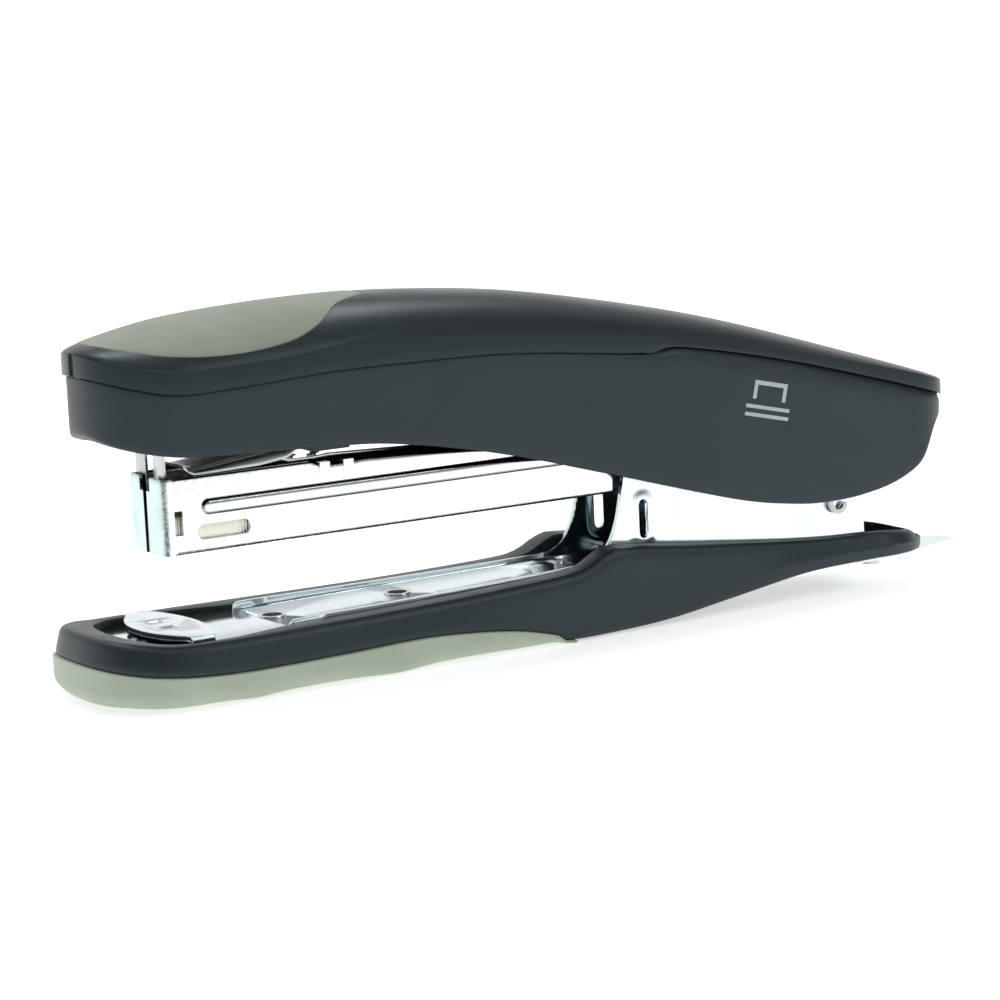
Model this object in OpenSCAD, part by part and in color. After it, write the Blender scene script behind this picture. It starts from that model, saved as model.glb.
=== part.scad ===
// Full-strip desktop stapler with a soft-grip handle and a staple remover at its tail.
// X runs from the nose (-) to the tail (+), Y across, Z up. The sole rests on Z = 0.
// Lengths are written from the handle's front tip; placed() moves them to the origin,
// which is the centre of the footprint on the table.

/* [Whole stapler] */
// Distance from the handle's front tip to the point above the origin
mid_x = 98.95; // [98.5:0.05:99.4]
// Height of the handle's hinge pin above the table
hinge_z = 36; // [35:0.5:37]
// Distance of the hinge pin from the handle's front tip
hinge_x = 165; // [164:0.5:166]
// Diameter of the hinge pin
pin_d = 4; // [3:0.5:5]

/* [Handle] */
// Widest width of the handle, near its front
handle_w = 33; // [32:0.5:35]
// Width of the handle where its tail starts to round
handle_tail_w = 26; // [25.5:0.5:28]
// Wall of the moulded cap
cap_wall = 2.2; // [1.8:0.1:2.6]
// Wall of the moulded lower housing
housing_wall = 2; // [1.6:0.1:2.2]
// How far the rim of the cap stands out past the housing
rim_overhang = 0.7; // [0.3:0.1:1]

/* [Magazine] */
// Outer width of the staple channel
mag_w = 15.2; // [15:0.1:15.6]
// Sheet thickness of the staple channel
mag_t = 0.7; // [0.5:0.1:0.8]
// Front face of the staple channel
mag_x = 12.5; // [12:0.5:13]
// Underside of the staple channel above the table
mag_z = 27.2; // [26.5:0.1:28]
// Height of the staple channel
mag_h = 14.8; // [14:0.1:15]
// Crown width of a standard staple
staple_w = 12.7; // [12.5:0.1:12.9]
// Leg length of a standard staple
staple_leg = 6; // [5:1:6]
// Length of the strip that is left in the channel
strip_l = 30; // [10:1:30]

/* [Base] */
// Width of the base across its rim
base_w = 42.4; // [41:0.2:43]
// Width of the base at its tail
base_tail_w = 23; // [22:0.5:24]
// Thickness of the steel frame
frame_t = 1; // [0.8:0.1:1.2]
// Outer width of the hinge bracket
bracket_w = 17.6; // [17.4:0.1:18]

/* [Hidden] */
$fn = 48;

// Screws and the holes for them
shank_d = 2.2;
shank_hole_d = 2.4;
screw_head_d = 4;
head_hole_d = 4.4;
through = 60;             // length of cuts that run right through

// ---- curves ---------------------------------------------------------------------------
function spline_at(a, b, c, d, t) =
    0.5 * (2 * b + (c - a) * t + (2 * a - 5 * b + 4 * c - d) * t * t
    + (3 * b - a - 3 * c + d) * t * t * t);

// Smooth curve through every point of p, with n steps between neighbours
function smooth(p, n = 4) = concat(
    [for (i = [0 : len(p) - 2]) for (k = [0 : n - 1])
        spline_at(p[max(i - 1, 0)], p[i], p[i + 1], p[min(i + 2, len(p) - 1)], k / n)],
    [p[len(p) - 1]]);

// One quarter of a squared ellipse: the share of the full width at distance d from a tip
function round_end(d, a, power) = d >= a ? 1 : pow(max(0, 1 - pow((a - d) / a, power)), 1 / power);

// Half width at x of an outline with a round nose, a straight taper and a round tail.
// o = [nose x, nose length, nose power, width, taper start, tail width, tail length, tail x]
function half_w(o, x) =
    let (w = x < o[4] ? o[3] : o[3] + (o[5] - o[3]) * (x - o[4]) / (o[7] - o[6] - o[4]))
    max(w, o[5]) / 2 * round_end(x - o[0], o[1], o[2]) * round_end(o[7] - x, o[6], o[2]);

// Stations that lie closer together at both ends, where the outline turns
function stations(o, n_end, n_mid) = concat(
    [for (i = [0 : n_end - 1]) o[0] + o[1] * (1 - cos(90 * i / n_end))],
    [for (i = [0 : n_mid]) o[0] + o[1] + (o[7] - o[6] - o[0] - o[1]) * i / n_mid],
    [for (i = [1 : n_end]) o[7] - o[6] * (1 - sin(90 * i / n_end))]);

// The same outline with its wall moved inwards by g
function inset(o, g) = [o[0] + g, o[1] - g / 2, o[2], o[3] - 2 * g, o[4], o[5] - 2 * g, o[6] - g / 2, o[7] - g];

module plan(o, n_end = 9, n_mid = 6) {
    xs = stations(o, n_end, n_mid);
    polygon(concat(
        [for (x = xs) [x, -half_w(o, x)]],
        [for (i = [len(xs) - 2 : -1 : 1]) [xs[i], half_w(o, xs[i])]]));
}

// A side view (x, z) stood up and made w wide, centred on the mid plane
module side(points, w) {
    translate([0, w / 2, 0]) rotate([90, 0, 0]) linear_extrude(w) polygon(points);
}

// A round bar across the stapler
module cross_pin(x, z, d, w) {
    translate([x, w / 2, z]) rotate([90, 0, 0]) cylinder(d = d, h = w);
}

module both_sides() {
    children();
    mirror([0, 1, 0]) children();
}

module placed() {
    translate([-mid_x, 0, 0]) children();
}

// ---- outlines of the moulded parts ---------------------------------------------------------
cap_plan = [-1, 17, 2.3, handle_w, 60, handle_tail_w, 13, 199];
housing_plan = inset(cap_plan, rim_overhang);
base_plan = [-5, 20, 2.5, base_w, 25, base_tail_w, 15, 193];
tray_plan = [2.5, 13, 2.4, 33, 22, 26, 14, 50];

// Side-view lines of the handle, as (x, z): crown, rim crease, seam and lower edge
crown_line = smooth([[-1, 67.2], [3, 68.6], [18, 71.7], [36, 73], [54, 73.3], [71, 72.6],
    [94, 70.2], [121, 65.1], [145, 59.2], [174, 50.2], [186, 46.2], [199, 41.6]]);
crease_line = smooth([[-1, 66.8], [6, 64.8], [14, 63.5], [27, 63.5], [45, 64.5], [61, 64.7],
    [84, 63.5], [106, 61.4], [129, 57.8], [152, 53.4], [176, 47.3], [187, 43.6], [199, 39.6]]);
seam_line = smooth([[-1, 62.8], [6, 60.6], [14, 59.1], [27, 59.3], [45, 60.2], [61, 60.2],
    [84, 59.6], [106, 57.4], [129, 54.4], [152, 49.1], [176, 42.1], [187, 38.6], [199, 35]]);
lower_line = smooth([[-1, 52.5], [3, 49.6], [13, 47.3], [26, 46.4], [45, 45.7], [60, 44.4],
    [83, 39.7], [109, 32.3], [139, 23.5], [154, 20.6], [163, 19.9], [172, 20.3], [181, 22],
    [188, 25.6], [193, 33], [199, 35]]);

// Side-view lines of the base: rim and underside
rim_line = smooth([[-5, 14.2], [3, 13], [12, 12.2], [40, 12.2], [70, 12.5], [95, 13.3],
    [102, 14.2], [107, 16.6], [112, 17.1], [133, 14.7], [160, 12], [178, 11.2], [188, 10],
    [193, 8.4]]);
under_line = smooth([[97, 0.4], [119, 0.7], [139, 3], [157, 5.2], [172, 5.6]], 3);
sole_line = smooth([[-8, 9.2], [-3, 8], [5, 6.9], [20, 6], [42, 6], [61, 6.3], [75, 5.4],
    [85, 4], [93, 2], [97, 0.4]]);

// ---- base ------------------------------------------------------------------------------------
floor_line = [[0, 10.6], [112, 13.1], [121, 12.6], [189, 9.2]];  // upper face of the steel floor
floor_end = 175.5;        // rear edge of the steel floor
wall_x = 35;              // where the side walls of the frame start
neck_x = 108;             // where the tapering walls reach the bracket's width
wall_w = 25.8;            // outer width of the frame where its walls start
blade_z = 4.6;            // underside of the remover blade
blade_t = 1;

module frame_plan(grow) {
    tip = wall_w / 2 + grow;
    neck = bracket_w / 2 + grow;
    polygon([[wall_x - grow, -tip], [neck_x, -neck], [floor_end + grow, -neck],
        [floor_end + grow, neck], [neck_x, neck], [wall_x - grow, tip]]);
}

// The steel floor in side view, moved down by drop and made thick
module floor_side(drop, thick) {
    side(concat([for (p = floor_line) [p[0], p[1] - drop]],
        [for (i = [3 : -1 : 0]) [floor_line[i][0], floor_line[i][1] - drop - thick]]), 60);
}

module base_shell() color([0.17, 0.19, 0.21]) placed() difference() {
    intersection() {
        side(concat(rim_line, [[193, 5.6]], [for (i = [len(under_line) - 1 : -1 : 0]) under_line[i]],
            [for (i = [len(sole_line) - 2 : -1 : 0]) sole_line[i]]), base_w + 2);
        linear_extrude(30) plan(base_plan);
    }
    // The tray for the anvil and the steel frame, open at the top
    intersection() {
        floor_side(-30, 30 + frame_t);
        linear_extrude(60) {
            plan(tray_plan, 8, 4);
            frame_plan(0.25);
            translate([172, 3.5 - base_tail_w / 2]) offset(4) offset(-4) square([17, base_tail_w - 7]);
        }
    }
    for (x = rivet_xs) translate([x, 0, 2]) cylinder(d = rivet_d, h = 12);
    for (p = screw_places) translate([p[0], p[1], -1]) {
        cylinder(d = shank_hole_d, h = 20);
        cylinder(d = head_hole_d, h = p[2] + 3);
    }
    for (p = remover_screw_places) translate([p[0], p[1], blade_z + blade_t - 1])
        cylinder(d = shank_d, h = 4);
}

module base_pad() color([0.66, 0.69, 0.62]) placed() difference() {
    intersection() {
        side(concat([[-9, 0], [-9, 9.5]], sole_line, [[97, 0]]), base_w + 6);
        union() {
            translate([0, 0, 2]) linear_extrude(12) plan(inset(base_plan, -0.7));
            hull() {
                translate([0, 0, 2]) linear_extrude(0.1) plan(inset(base_plan, -0.7));
                linear_extrude(0.1) plan(inset(base_plan, 1.2));
            }
        }
    }
    for (x = rivet_xs) translate([x, 0, -1]) cylinder(d = rivet_d + 3.6, h = 12);
}

rivet_xs = [38, 66];      // hollow rivets between shell and frame
rivet_d = 5.4;
rivet_drop = 1.4;         // how far the rivets' flanges reach below the shell
screw_places = [[104, 0, 0.6], [150, 0, 4.4]];
remover_screw_places = [[179, -5, blade_z], [179, 5, blade_z]];

// Steel channel: a floor, tapering side walls and two tall plates that carry the hinge pin
module base_frame() color([0.78, 0.8, 0.82]) placed() difference() {
    union() {
        intersection() {
            floor_side(0, frame_t);
            linear_extrude(60) {
                intersection() {
                    plan(inset(tray_plan, 0.2), 8, 4);
                    translate([0, -20]) square([wall_x + 2, 40]);
                }
                frame_plan(0);
            }
        }
        difference() {
            intersection() {
                linear_extrude(50) frame_plan(0);
                side(frame_side, 40);
            }
            linear_extrude(50) frame_inside();
        }
    }
    for (x = rivet_xs) translate([x, 0, 5]) cylinder(d = rivet_d, h = 12);
    for (p = screw_places) translate([p[0], p[1], 5]) cylinder(d = shank_hole_d, h = 14);
    cross_pin(hinge_x, hinge_z, pin_d, through);
    // Upright slots pressed through both plates
    hull() for (z = [slot_z0, slot_z1]) cross_pin(slot_x, z, slot_w, through);
}

slot_x = 119.2;
slot_z0 = 18.4;
slot_z1 = 24.4;
slot_w = 2.2;
frame_side = concat(
    smooth([[wall_x, 11.9], [60, 12.6], [90, 13.2], [104, 13.7], [108, 14.6], [111, 17],
        [113, 22], [115, 30]], 3),
    [[116.5, 34], [124, 37], [150, 38.4], [160, hinge_z + 4.6], [hinge_x, hinge_z + 5.4],
    [170, hinge_z + 4.4], [174.5, 34], [174.5, 9.4], [121, 12.1], [112, 12.6], [wall_x, 10.8]]);

module frame_inside() {
    tip = wall_w / 2 - frame_t;
    neck = bracket_w / 2 - frame_t;
    polygon([[wall_x - 1, -tip], [neck_x, -neck], [180, -neck], [180, neck],
        [neck_x, neck], [wall_x - 1, tip]]);
}

module base_rivets() color([0.6, 0.62, 0.64]) placed()
    for (x = rivet_xs) translate([x, 0, lookup(x, sole_line) - rivet_drop]) difference() {
        union() {
            cylinder(d = rivet_d, h = lookup(x, floor_line) + 0.2 + rivet_drop - lookup(x, sole_line));
            cylinder(d = rivet_d + 2.6, h = 0.9);
        }
        translate([0, 0, -1]) cylinder(d = rivet_d - 1.4, h = 12);
    }

module base_screws() color([0.55, 0.56, 0.58]) placed()
    for (p = screw_places) translate(p) {
        cylinder(d = screw_head_d, h = 2);
        cylinder(d = shank_d, h = lookup(p[0], floor_line) - p[2] + 0.6);
    }

// Raised plate with two pressed pockets that bend the staple legs
anvil_x = 15;
anvil_l = 13;
anvil_w = 31;
anvil_top = 13;
pocket_r = 4.4;
pocket_depth = 0.6;
anvil_arc_r = 62.5;       // radius of its curved front edge
module anvil_plate() color([0.76, 0.82, 0.85]) placed() difference() {
    union() {
        translate([0, 0, anvil_top - 1]) linear_extrude(1) difference() {
            translate([anvil_x, 0]) offset(2) offset(-2) square([anvil_l, anvil_w], center = true);
            translate([anvil_x - anvil_arc_r - anvil_l / 2, 0]) difference() {
                square([240, 80], center = true);
                circle(r = anvil_arc_r + anvil_l, $fn = 160);
            }
        }
        both_sides() translate([anvil_x - 4, anvil_w / 2 - 1, 11.1]) cube([8, 1, 1.4]);
    }
    both_sides() translate([anvil_x - 2.2, 3.4, anvil_top + pocket_r - pocket_depth])
        rotate([0, 90, 0]) cylinder(r = pocket_r, h = 2.4);
}

module remover_blade() color([0.8, 0.85, 0.88]) placed() difference() {
    translate([0, 0, blade_z]) linear_extrude(blade_t) offset(1) offset(-1)
        polygon([[174, -8], [188, -8], [202.6, -3], [203.6, -1.4], [203.6, 1.4], [202.6, 3],
            [188, 8], [174, 8]]);
    for (p = remover_screw_places) translate([p[0], p[1], 0]) cylinder(d = shank_d, h = 20);
}

module remover_screws() color([0.55, 0.56, 0.58]) placed()
    for (p = remover_screw_places) translate(p) {
        translate([0, 0, -1]) cylinder(d = screw_head_d, h = 1);
        cylinder(d = shank_d, h = 4);
    }

pin_head = 0.5;           // thickness of the pin's riveted heads
module hinge_pin() color([0.7, 0.71, 0.73]) placed() {
    cross_pin(hinge_x, hinge_z, pin_d, cheek_w + 0.6);
    both_sides() translate([hinge_x, -cheek_w / 2 - 0.05, hinge_z]) rotate([90, 0, 0])
        cylinder(d = pin_d + 1.6, h = pin_head);
}

// Bent strip that lifts the channel off the anvil
module lift_spring() color([0.62, 0.66, 0.7]) placed()
    side([[122, 12.7], [146, 11.5], [147.4, 12.8], [126.2, 26.8], [124.6, 27.6], [123.2, 27],
        [124.8, 26.2], [144.4, 13.2], [144.2, 12.5], [122, 13.6]], 8);

// ---- magazine --------------------------------------------------------------------------------
mag_end = 113;
nose_r = 1.5;
nose_t = 0.6;             // sheet thickness of the nose face
mag_top = mag_z + mag_h;
rail_w = 11.2;
rail_x = mag_x + 2.5;
rail_end = 171;
rail_top = mag_z + mag_t + staple_leg;
rod_z = mag_z + mag_t + 3.1;
rod_d = 1.8;
rib_x = 21;               // where the ribs pressed out of the channel's sides start
rib_r = 1.15;
side_slot_xs = [21, 29];  // ends of the long slot in each side
side_slot_d = 3;

// Folded channel, open at the top, with windows in its sides and a slot under its nose
module magazine_cover() color([0.84, 0.85, 0.87]) placed() difference() {
    union() {
        intersection() {
            side([[mag_x, mag_z], [mag_x, mag_top], [45, mag_top], [46, mag_top - 1.4],
                [54, mag_top - 1.4], [55, mag_top - 1.1], [80, mag_top - 2], [mag_end, mag_top - 4],
                [mag_end, mag_z]], mag_w);
            linear_extrude(60) translate([mag_x + nose_r, 0]) offset(nose_r)
                translate([0, nose_r - mag_w / 2]) square([mag_end, mag_w - 2 * nose_r]);
        }
        // Stiffening ribs pressed out of the sides
        both_sides() translate([rib_x, mag_w / 2 - 0.8, mag_z + 8.8]) {
            rotate([0, 90, 0]) cylinder(r = rib_r, h = 80);
            sphere(r = rib_r);
        }
    }
    // The open inside
    translate([mag_x + nose_t, mag_t - mag_w / 2, mag_z + mag_t])
        cube([mag_end, mag_w - 2 * mag_t, mag_h]);
    // Where a staple leaves
    translate([mag_x + nose_t, mag_t - mag_w / 2, mag_z - 1]) cube([2.3, mag_w - 2 * mag_t, 3]);
    // Folded seam and notch in the nose face
    translate([mag_x - 1, -0.2, mag_z - 1]) cube([2, 0.4, 30]);
    translate([mag_x - 1, -2.2, mag_top - 2.6]) cube([2, 4.4, 5]);
    // Upright window and long slot on each side
    translate([mag_x + 2.4, -through / 2, mag_z + 3.9]) cube([1.7, through, 4.7]);
    for (x = side_slot_xs) cross_pin(x, mag_z + 4.1, side_slot_d, through);
    translate([side_slot_xs[0], -through / 2, mag_z + 4.1 - side_slot_d / 2])
        cube([side_slot_xs[1] - side_slot_xs[0], through, side_slot_d]);
    for (x = magazine_rivet_xs) translate([x, 0, mag_z - 1]) cylinder(d = magazine_rivet_d, h = 3);
}

// Rivets that join the channel's floor to the rail's floor
magazine_rivet_xs = [60, 104];
magazine_rivet_d = 2;
module magazine_rivets() color([0.6, 0.6, 0.62]) placed()
    for (x = magazine_rivet_xs) translate([x, 0, mag_z]) {
        cylinder(d = magazine_rivet_d, h = 2 * mag_t);
        translate([0, 0, -0.5]) cylinder(d = magazine_rivet_d + 1.2, h = 0.5);
    }

// Inner rail: an open channel that the staples straddle, with two ears on the hinge pin
module staple_rail() color([0.72, 0.73, 0.75]) placed() difference() {
    intersection() {
        side([[rail_x, mag_z + mag_t], [rail_x, rail_top], [140, rail_top], [150, hinge_z + 5],
            [hinge_x, hinge_z + 6], [rail_end, hinge_z + 3], [rail_end, mag_z + mag_t]], rail_w);
        translate([0, -rail_w / 2, 0]) cube([200, rail_w, 60]);
    }
    translate([rail_x - 1, -rail_w / 2 + 0.7, mag_z + 2 * mag_t]) cube([200, rail_w - 1.4, 40]);
    cross_pin(hinge_x, hinge_z, pin_d + 0.1, through);
    for (x = magazine_rivet_xs) translate([x, 0, mag_z]) cylinder(d = magazine_rivet_d, h = 3);
}

module staple_strip() color([0.86, 0.84, 0.74]) placed()
    translate([rail_x, 0, 0]) difference() {
        translate([0, -staple_w / 2, rail_top - staple_leg + 0.15])
            cube([strip_l, staple_w, staple_leg + 0.55]);
        translate([-1, -rail_w / 2 - 0.1, 0]) cube([strip_l + 2, rail_w + 0.2, rail_top + 0.1]);
    }

pusher_x = rail_x + strip_l + 0.2;
pusher_l = 12;
anchor_x = 158;

module guide_rod() color([0.75, 0.76, 0.78]) placed()
    translate([pusher_x + 1, 0, rod_z]) rotate([0, 90, 0]) cylinder(d = rod_d, h = anchor_x + 3 - pusher_x - 1);

module rod_anchor() color([0.6, 0.61, 0.63]) placed() difference() {
    translate([anchor_x, -rail_w / 2 + 0.7, mag_z + 2 * mag_t]) cube([3, rail_w - 1.4, 5.4]);
    translate([anchor_x - 1, 0, rod_z]) rotate([0, 90, 0]) cylinder(d = rod_d, h = 5);
}

// The coil is drawn as the sleeve that it fills
module pusher_spring() color([0.7, 0.72, 0.75]) placed()
    translate([pusher_x + pusher_l, 0, rod_z]) rotate([0, 90, 0]) difference() {
        cylinder(d = 4.4, h = anchor_x - pusher_x - pusher_l);
        translate([0, 0, -1]) cylinder(d = 3, h = 200);
    }

// Saddle that rides on the rail and the rod and presses on the last staple
module pusher() color([0.75, 0.77, 0.8]) placed() translate([pusher_x, 0, 0]) difference() {
    translate([0, -staple_w / 2, mag_z + mag_t + 0.3]) cube([pusher_l, staple_w, staple_leg + 1.2]);
    difference() {
        translate([-1, -rail_w / 2 - 0.15, 0]) cube([pusher_l + 2, rail_w + 0.3, rail_top + 0.2]);
        translate([0, -rail_w / 2 + 0.9, mag_z + 2 * mag_t + 0.2]) cube([pusher_l, rail_w - 1.8, 10]);
    }
    translate([-1, 0, rod_z]) rotate([0, 90, 0]) cylinder(d = rod_d + 0.1, h = pusher_l + 2);
}

// Spring clip with two bright tabs on the channel's upper edge
tab_xs = [46.2, 51.4];
tab_w = 2.2;
tab_t = 0.4;
tab_h = 3.6;
module channel_clip() color([0.85, 0.86, 0.88]) placed() both_sides()
    for (x = tab_xs) translate([x, mag_w / 2, mag_top - 4]) {
        cube([tab_w, tab_t, tab_h]);
        translate([0, -3 * tab_t, tab_h - tab_t]) cube([tab_w, 4 * tab_t, tab_t]);
    }

// ---- handle ----------------------------------------------------------------------------------
cap_n = 10;         // steps over half of the crown
crown_power = 2.3;

// One arch of the cap at x, moved inwards by g, from the near skirt over to the far one
function cap_arch(o, x, xc, g) =
    let (w = half_w(o, x),
         zt = lookup(xc, crown_line) - g,
         zc = min(lookup(xc, crease_line), zt),
         zs = lookup(xc, seam_line))
    concat(
        [[x, -w, zs]],
        [for (k = [-cap_n : cap_n])
            let (u = k / cap_n, s = sin(90 * u))
            [x, w * s, zc + (zt - zc) * pow(max(0, 1 - pow(abs(s), crown_power)), 1 / crown_power)]],
        [[x, w, zs]]);

module cap_loft() {
    inner = inset(cap_plan, cap_wall);
    xo = stations(cap_plan, 7, 14);
    xi = stations(inner, 7, 14);
    n = len(xo);
    m = 2 * cap_n + 3;
    eps = 0.02;
    outer_pts = [for (i = [0 : n - 1])
        let (x = min(max(xo[i], cap_plan[0] + eps), cap_plan[7] - eps)) each cap_arch(cap_plan, x, x, 0)];
    inner_pts = [for (i = [0 : n - 1])
        let (x = min(max(xi[i], inner[0] + eps), inner[7] - eps)) each cap_arch(inner, x, x, cap_wall)];
    k = n * m;
    last = (n - 1) * m;
    skin = [for (i = [0 : n - 2]) for (j = [0 : m - 2]) let (a = i * m + j) each [
        [a, a + m + 1, a + m], [a, a + 1, a + m + 1]]];
    skin_ends = [for (j = [1 : m - 2]) each [[0, j + 1, j], [last, last + j, last + j + 1]]];
    inside = [for (f = concat(skin, skin_ends)) [k + f[0], k + f[2], k + f[1]]];
    lower_edge = [for (i = [0 : n - 2]) let (a = i * m, b = i * m + m - 1) each [
        [a, a + m, k + a + m], [a, k + a + m, k + a],
        [b, k + b + m, b + m], [b, k + b, k + b + m]]];
    lower_ends = [[0, k + m - 1, m - 1], [0, k, k + m - 1],
        [last, k + last + m - 1, k + last], [last, last + m - 1, k + last + m - 1]];
    polyhedron(concat(outer_pts, inner_pts), concat(skin, skin_ends, inside, lower_edge, lower_ends));
}

// Side view of the soft inlay: it covers the crown's front and ends in a sweeping curve
module grip_region(grow) {
    side(concat([[-6, 90], [-6, 70.4]],
        smooth([[-1.5, 69.6 - grow], [4.3, 67.9 - grow], [12.4, 66.4 - grow], [21, 65.7 - grow], [29.4, 65.8 - grow],
            [38.2 + grow, 66.9 - grow], [44.9 + grow, 69.2], [49.6 + grow, 72.4], [55 + grow, 75]]),
        [[56 + grow, 90]]), 60);
}

module top_cap() color([0.14, 0.17, 0.2]) placed() difference() {
    union() {
        cap_loft();
        // Screw bosses that stand on the handle's web
        for (x = cap_screw_xs) translate([x, 0, boss_z(x)])
            cylinder(d = 6, h = lookup(x, crown_line) - cap_wall + 0.9 - boss_z(x));
    }
    grip_region(0);
    for (x = cap_screw_xs) translate([x, 0, boss_z(x) - 1]) cylinder(d = cap_screw_d, h = 6);
}

function boss_z(x) = lookup(x, web_line) + web_t + 0.4;

module grip_inlay() color([0.62, 0.62, 0.56]) placed() intersection() {
    cap_loft();
    grip_region(-0.02);
}

module handle_housing() color([0.25, 0.27, 0.3]) placed() intersection() {
    side(concat(
        [for (p = seam_line) [p[0], p[1] - 0.02]],
        [for (i = [len(lower_line) - 2 : -1 : 0]) lower_line[i]]), 60);
    linear_extrude(90) difference() {
        plan(housing_plan);
        plan(inset(housing_plan, housing_wall));
    }
}

// Steel handle channel: a web under the cap and two cheeks that straddle the bracket
cheek_w = 20.2;
cheek_t = 0.9;
web_t = 1.4;
curl_x = 167.6;           // centre of the curled ends of the cheeks
curl_z = 18.6;
curl_r = 2.2;
frame_front = 9.6;
web_line = [[0, 59], [20, 60.6], [60, 61.1], [90, 58.6], [121, 53.1], [150, 45.6], [172, 39.6]];
cap_screw_xs = [75, 104, 140];
cap_screw_d = 2;
module handle_frame() color([0.72, 0.73, 0.75]) placed() {
    difference() {
        intersection() {
            side(concat([for (p = web_line) [p[0], p[1] + web_t]], [[176, 36], [174, 24], [160, 23.5],
                [140, 26.5], [112, 35], [84, 43.5], [62, 48], [30, 49.5], [0, 49.5]]), cheek_w);
            translate([frame_front, -20, 0]) cube([200, 40, 80]);
        }
        side(concat(web_line, [[180, 37.4], [180, 0], [0, 0]]), cheek_w - 2 * cheek_t);
        translate([160, cheek_t - cheek_w / 2, 20]) cube([30, cheek_w - 2 * cheek_t, 40]);
        cross_pin(hinge_x, hinge_z, pin_d + 0.1, through);
        for (x = cap_screw_xs) translate([x, 0, 40]) cylinder(d = shank_d, h = 30);
        translate([holder_x + holder_l / 2, 0, 55]) cylinder(d = shank_hole_d, h = 20);
    }
    // Curled ends of the cheeks, below the housing
    both_sides() difference() {
        union() {
            translate([curl_x - curl_r, cheek_w / 2 - cheek_t, curl_z]) cube([cheek_t, cheek_t, 6]);
            translate([curl_x, cheek_w / 2 - cheek_t, curl_z]) rotate([-90, 0, 0])
                cylinder(r = curl_r, h = cheek_t);
        }
        translate([curl_x, 0, curl_z]) rotate([-90, 0, 0]) cylinder(r = curl_r - cheek_t, h = through);
        translate([curl_x - curl_r + cheek_t, 0, curl_z]) cube([10, through, 5]);
    }
}

blade_x = mag_x + 1.25;   // front face of the driver blade
driver_w = 12.2;
driver_t = 0.6;
driver_rivet_ys = [-3.6, 3.6];
driver_rivet_z = 56;
driver_rivet_d = 2;
module driver_blade() color([0.8, 0.81, 0.83]) placed() difference() {
    translate([blade_x, -driver_w / 2, rail_top + 1.4]) cube([driver_t, driver_w, 24.7]);
    translate([blade_x - 1, -1.2, 20]) cube([3, 2.4, 24.5]);
    for (y = driver_rivet_ys) translate([blade_x - 1, y, driver_rivet_z]) rotate([0, 90, 0])
        cylinder(d = driver_rivet_d, h = 4);
}

module driver_block() color([0.12, 0.12, 0.13]) placed() difference() {
    translate([blade_x + driver_t, -driver_w / 2, 43.4]) cube([3.4, driver_w, 16.7]);
    for (y = driver_rivet_ys) translate([blade_x, y, driver_rivet_z]) rotate([0, 90, 0])
        cylinder(d = driver_rivet_d, h = 5);
}

module driver_rivets() color([0.6, 0.61, 0.63]) placed()
    for (y = driver_rivet_ys) translate([blade_x, y, driver_rivet_z]) rotate([0, 90, 0]) {
        translate([0, 0, -0.9]) cylinder(d = driver_rivet_d + 1.4, h = 0.9);
        cylinder(d = driver_rivet_d, h = 4);
    }

// Leaf that presses on the strip's front and pushes the handle back up
leaf_w = 9;
holder_x = 46.4;
holder_l = 8;
holder_z = 43.4;
leaf_line = [[18, 43.6], [19.2, 43], [22, 43], [holder_x, 46.1], [holder_x + holder_l - 0.5, 46.6]];
leaf_t = 0.5;
module return_leaf() color([0.62, 0.66, 0.68]) placed() difference() {
    side(concat(leaf_line, [for (i = [len(leaf_line) - 1 : -1 : 0])
        [leaf_line[i][0], leaf_line[i][1] + leaf_t]]), leaf_w);
    translate([holder_x + holder_l / 2, 0, 40]) cylinder(d = shank_hole_d, h = 20);
}

// Block that hangs from the handle's web and grips the leaf
module leaf_holder() color([0.1, 0.1, 0.11]) placed() difference() {
    translate([holder_x, -5.2, holder_z]) cube([holder_l, 10.4, 17.2]);
    translate([holder_x - 1, -leaf_w / 2, 46]) cube([holder_l + 0.5, leaf_w, 1.3]);
    translate([holder_x + holder_l / 2, 0, 40]) cylinder(d = shank_hole_d, h = 30);
    translate([holder_x + holder_l / 2, 0, 40]) cylinder(d = head_hole_d, h = 4.6);
}

module leaf_screw() color([0.55, 0.56, 0.58]) placed() translate([holder_x + holder_l / 2, 0, holder_z]) {
    cylinder(d = screw_head_d, h = 1.2);
    cylinder(d = shank_hole_d, h = 19.6);
}

// Coil on the hinge pin, drawn as the sleeve that it fills
coil_d = 7.6;
coil_wire = 1.2;
coil_l = 6;
module hinge_spring() color([0.65, 0.67, 0.7]) placed() difference() {
    cross_pin(hinge_x, hinge_z, coil_d, coil_l);
    cross_pin(hinge_x, hinge_z, coil_d - 2 * coil_wire, coil_l + 4);
}

// Screws from below the web into the cap's bosses
module cap_screws() color([0.55, 0.56, 0.58]) placed()
    for (x = cap_screw_xs) translate([x, 0, lookup(x, web_line) - 1.8]) {
        cylinder(d = screw_head_d, h = 1.2);
        cylinder(d = cap_screw_d, h = 7);
    }

// ---- drawing ---------------------------------------------------------------------------------
base_shell();
base_pad();
base_frame();
base_rivets();
base_screws();
anvil_plate();
remover_blade();
remover_screws();
hinge_pin();
lift_spring();
magazine_cover();
magazine_rivets();
staple_rail();
staple_strip();
guide_rod();
rod_anchor();
pusher_spring();
pusher();
channel_clip();
top_cap();
grip_inlay();
handle_housing();
handle_frame();
driver_blade();
driver_block();
driver_rivets();
return_leaf();
leaf_holder();
leaf_screw();
hinge_spring();
cap_screws();
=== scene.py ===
"""Desktop stapler: the looks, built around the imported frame. Lengths in the shape code are millimetres,
measured from the handle's front tip; piece() turns them into the row frame's metres."""
import math

import bmesh
import bpy
import numpy as np
from mathutils import Matrix, Vector


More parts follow.
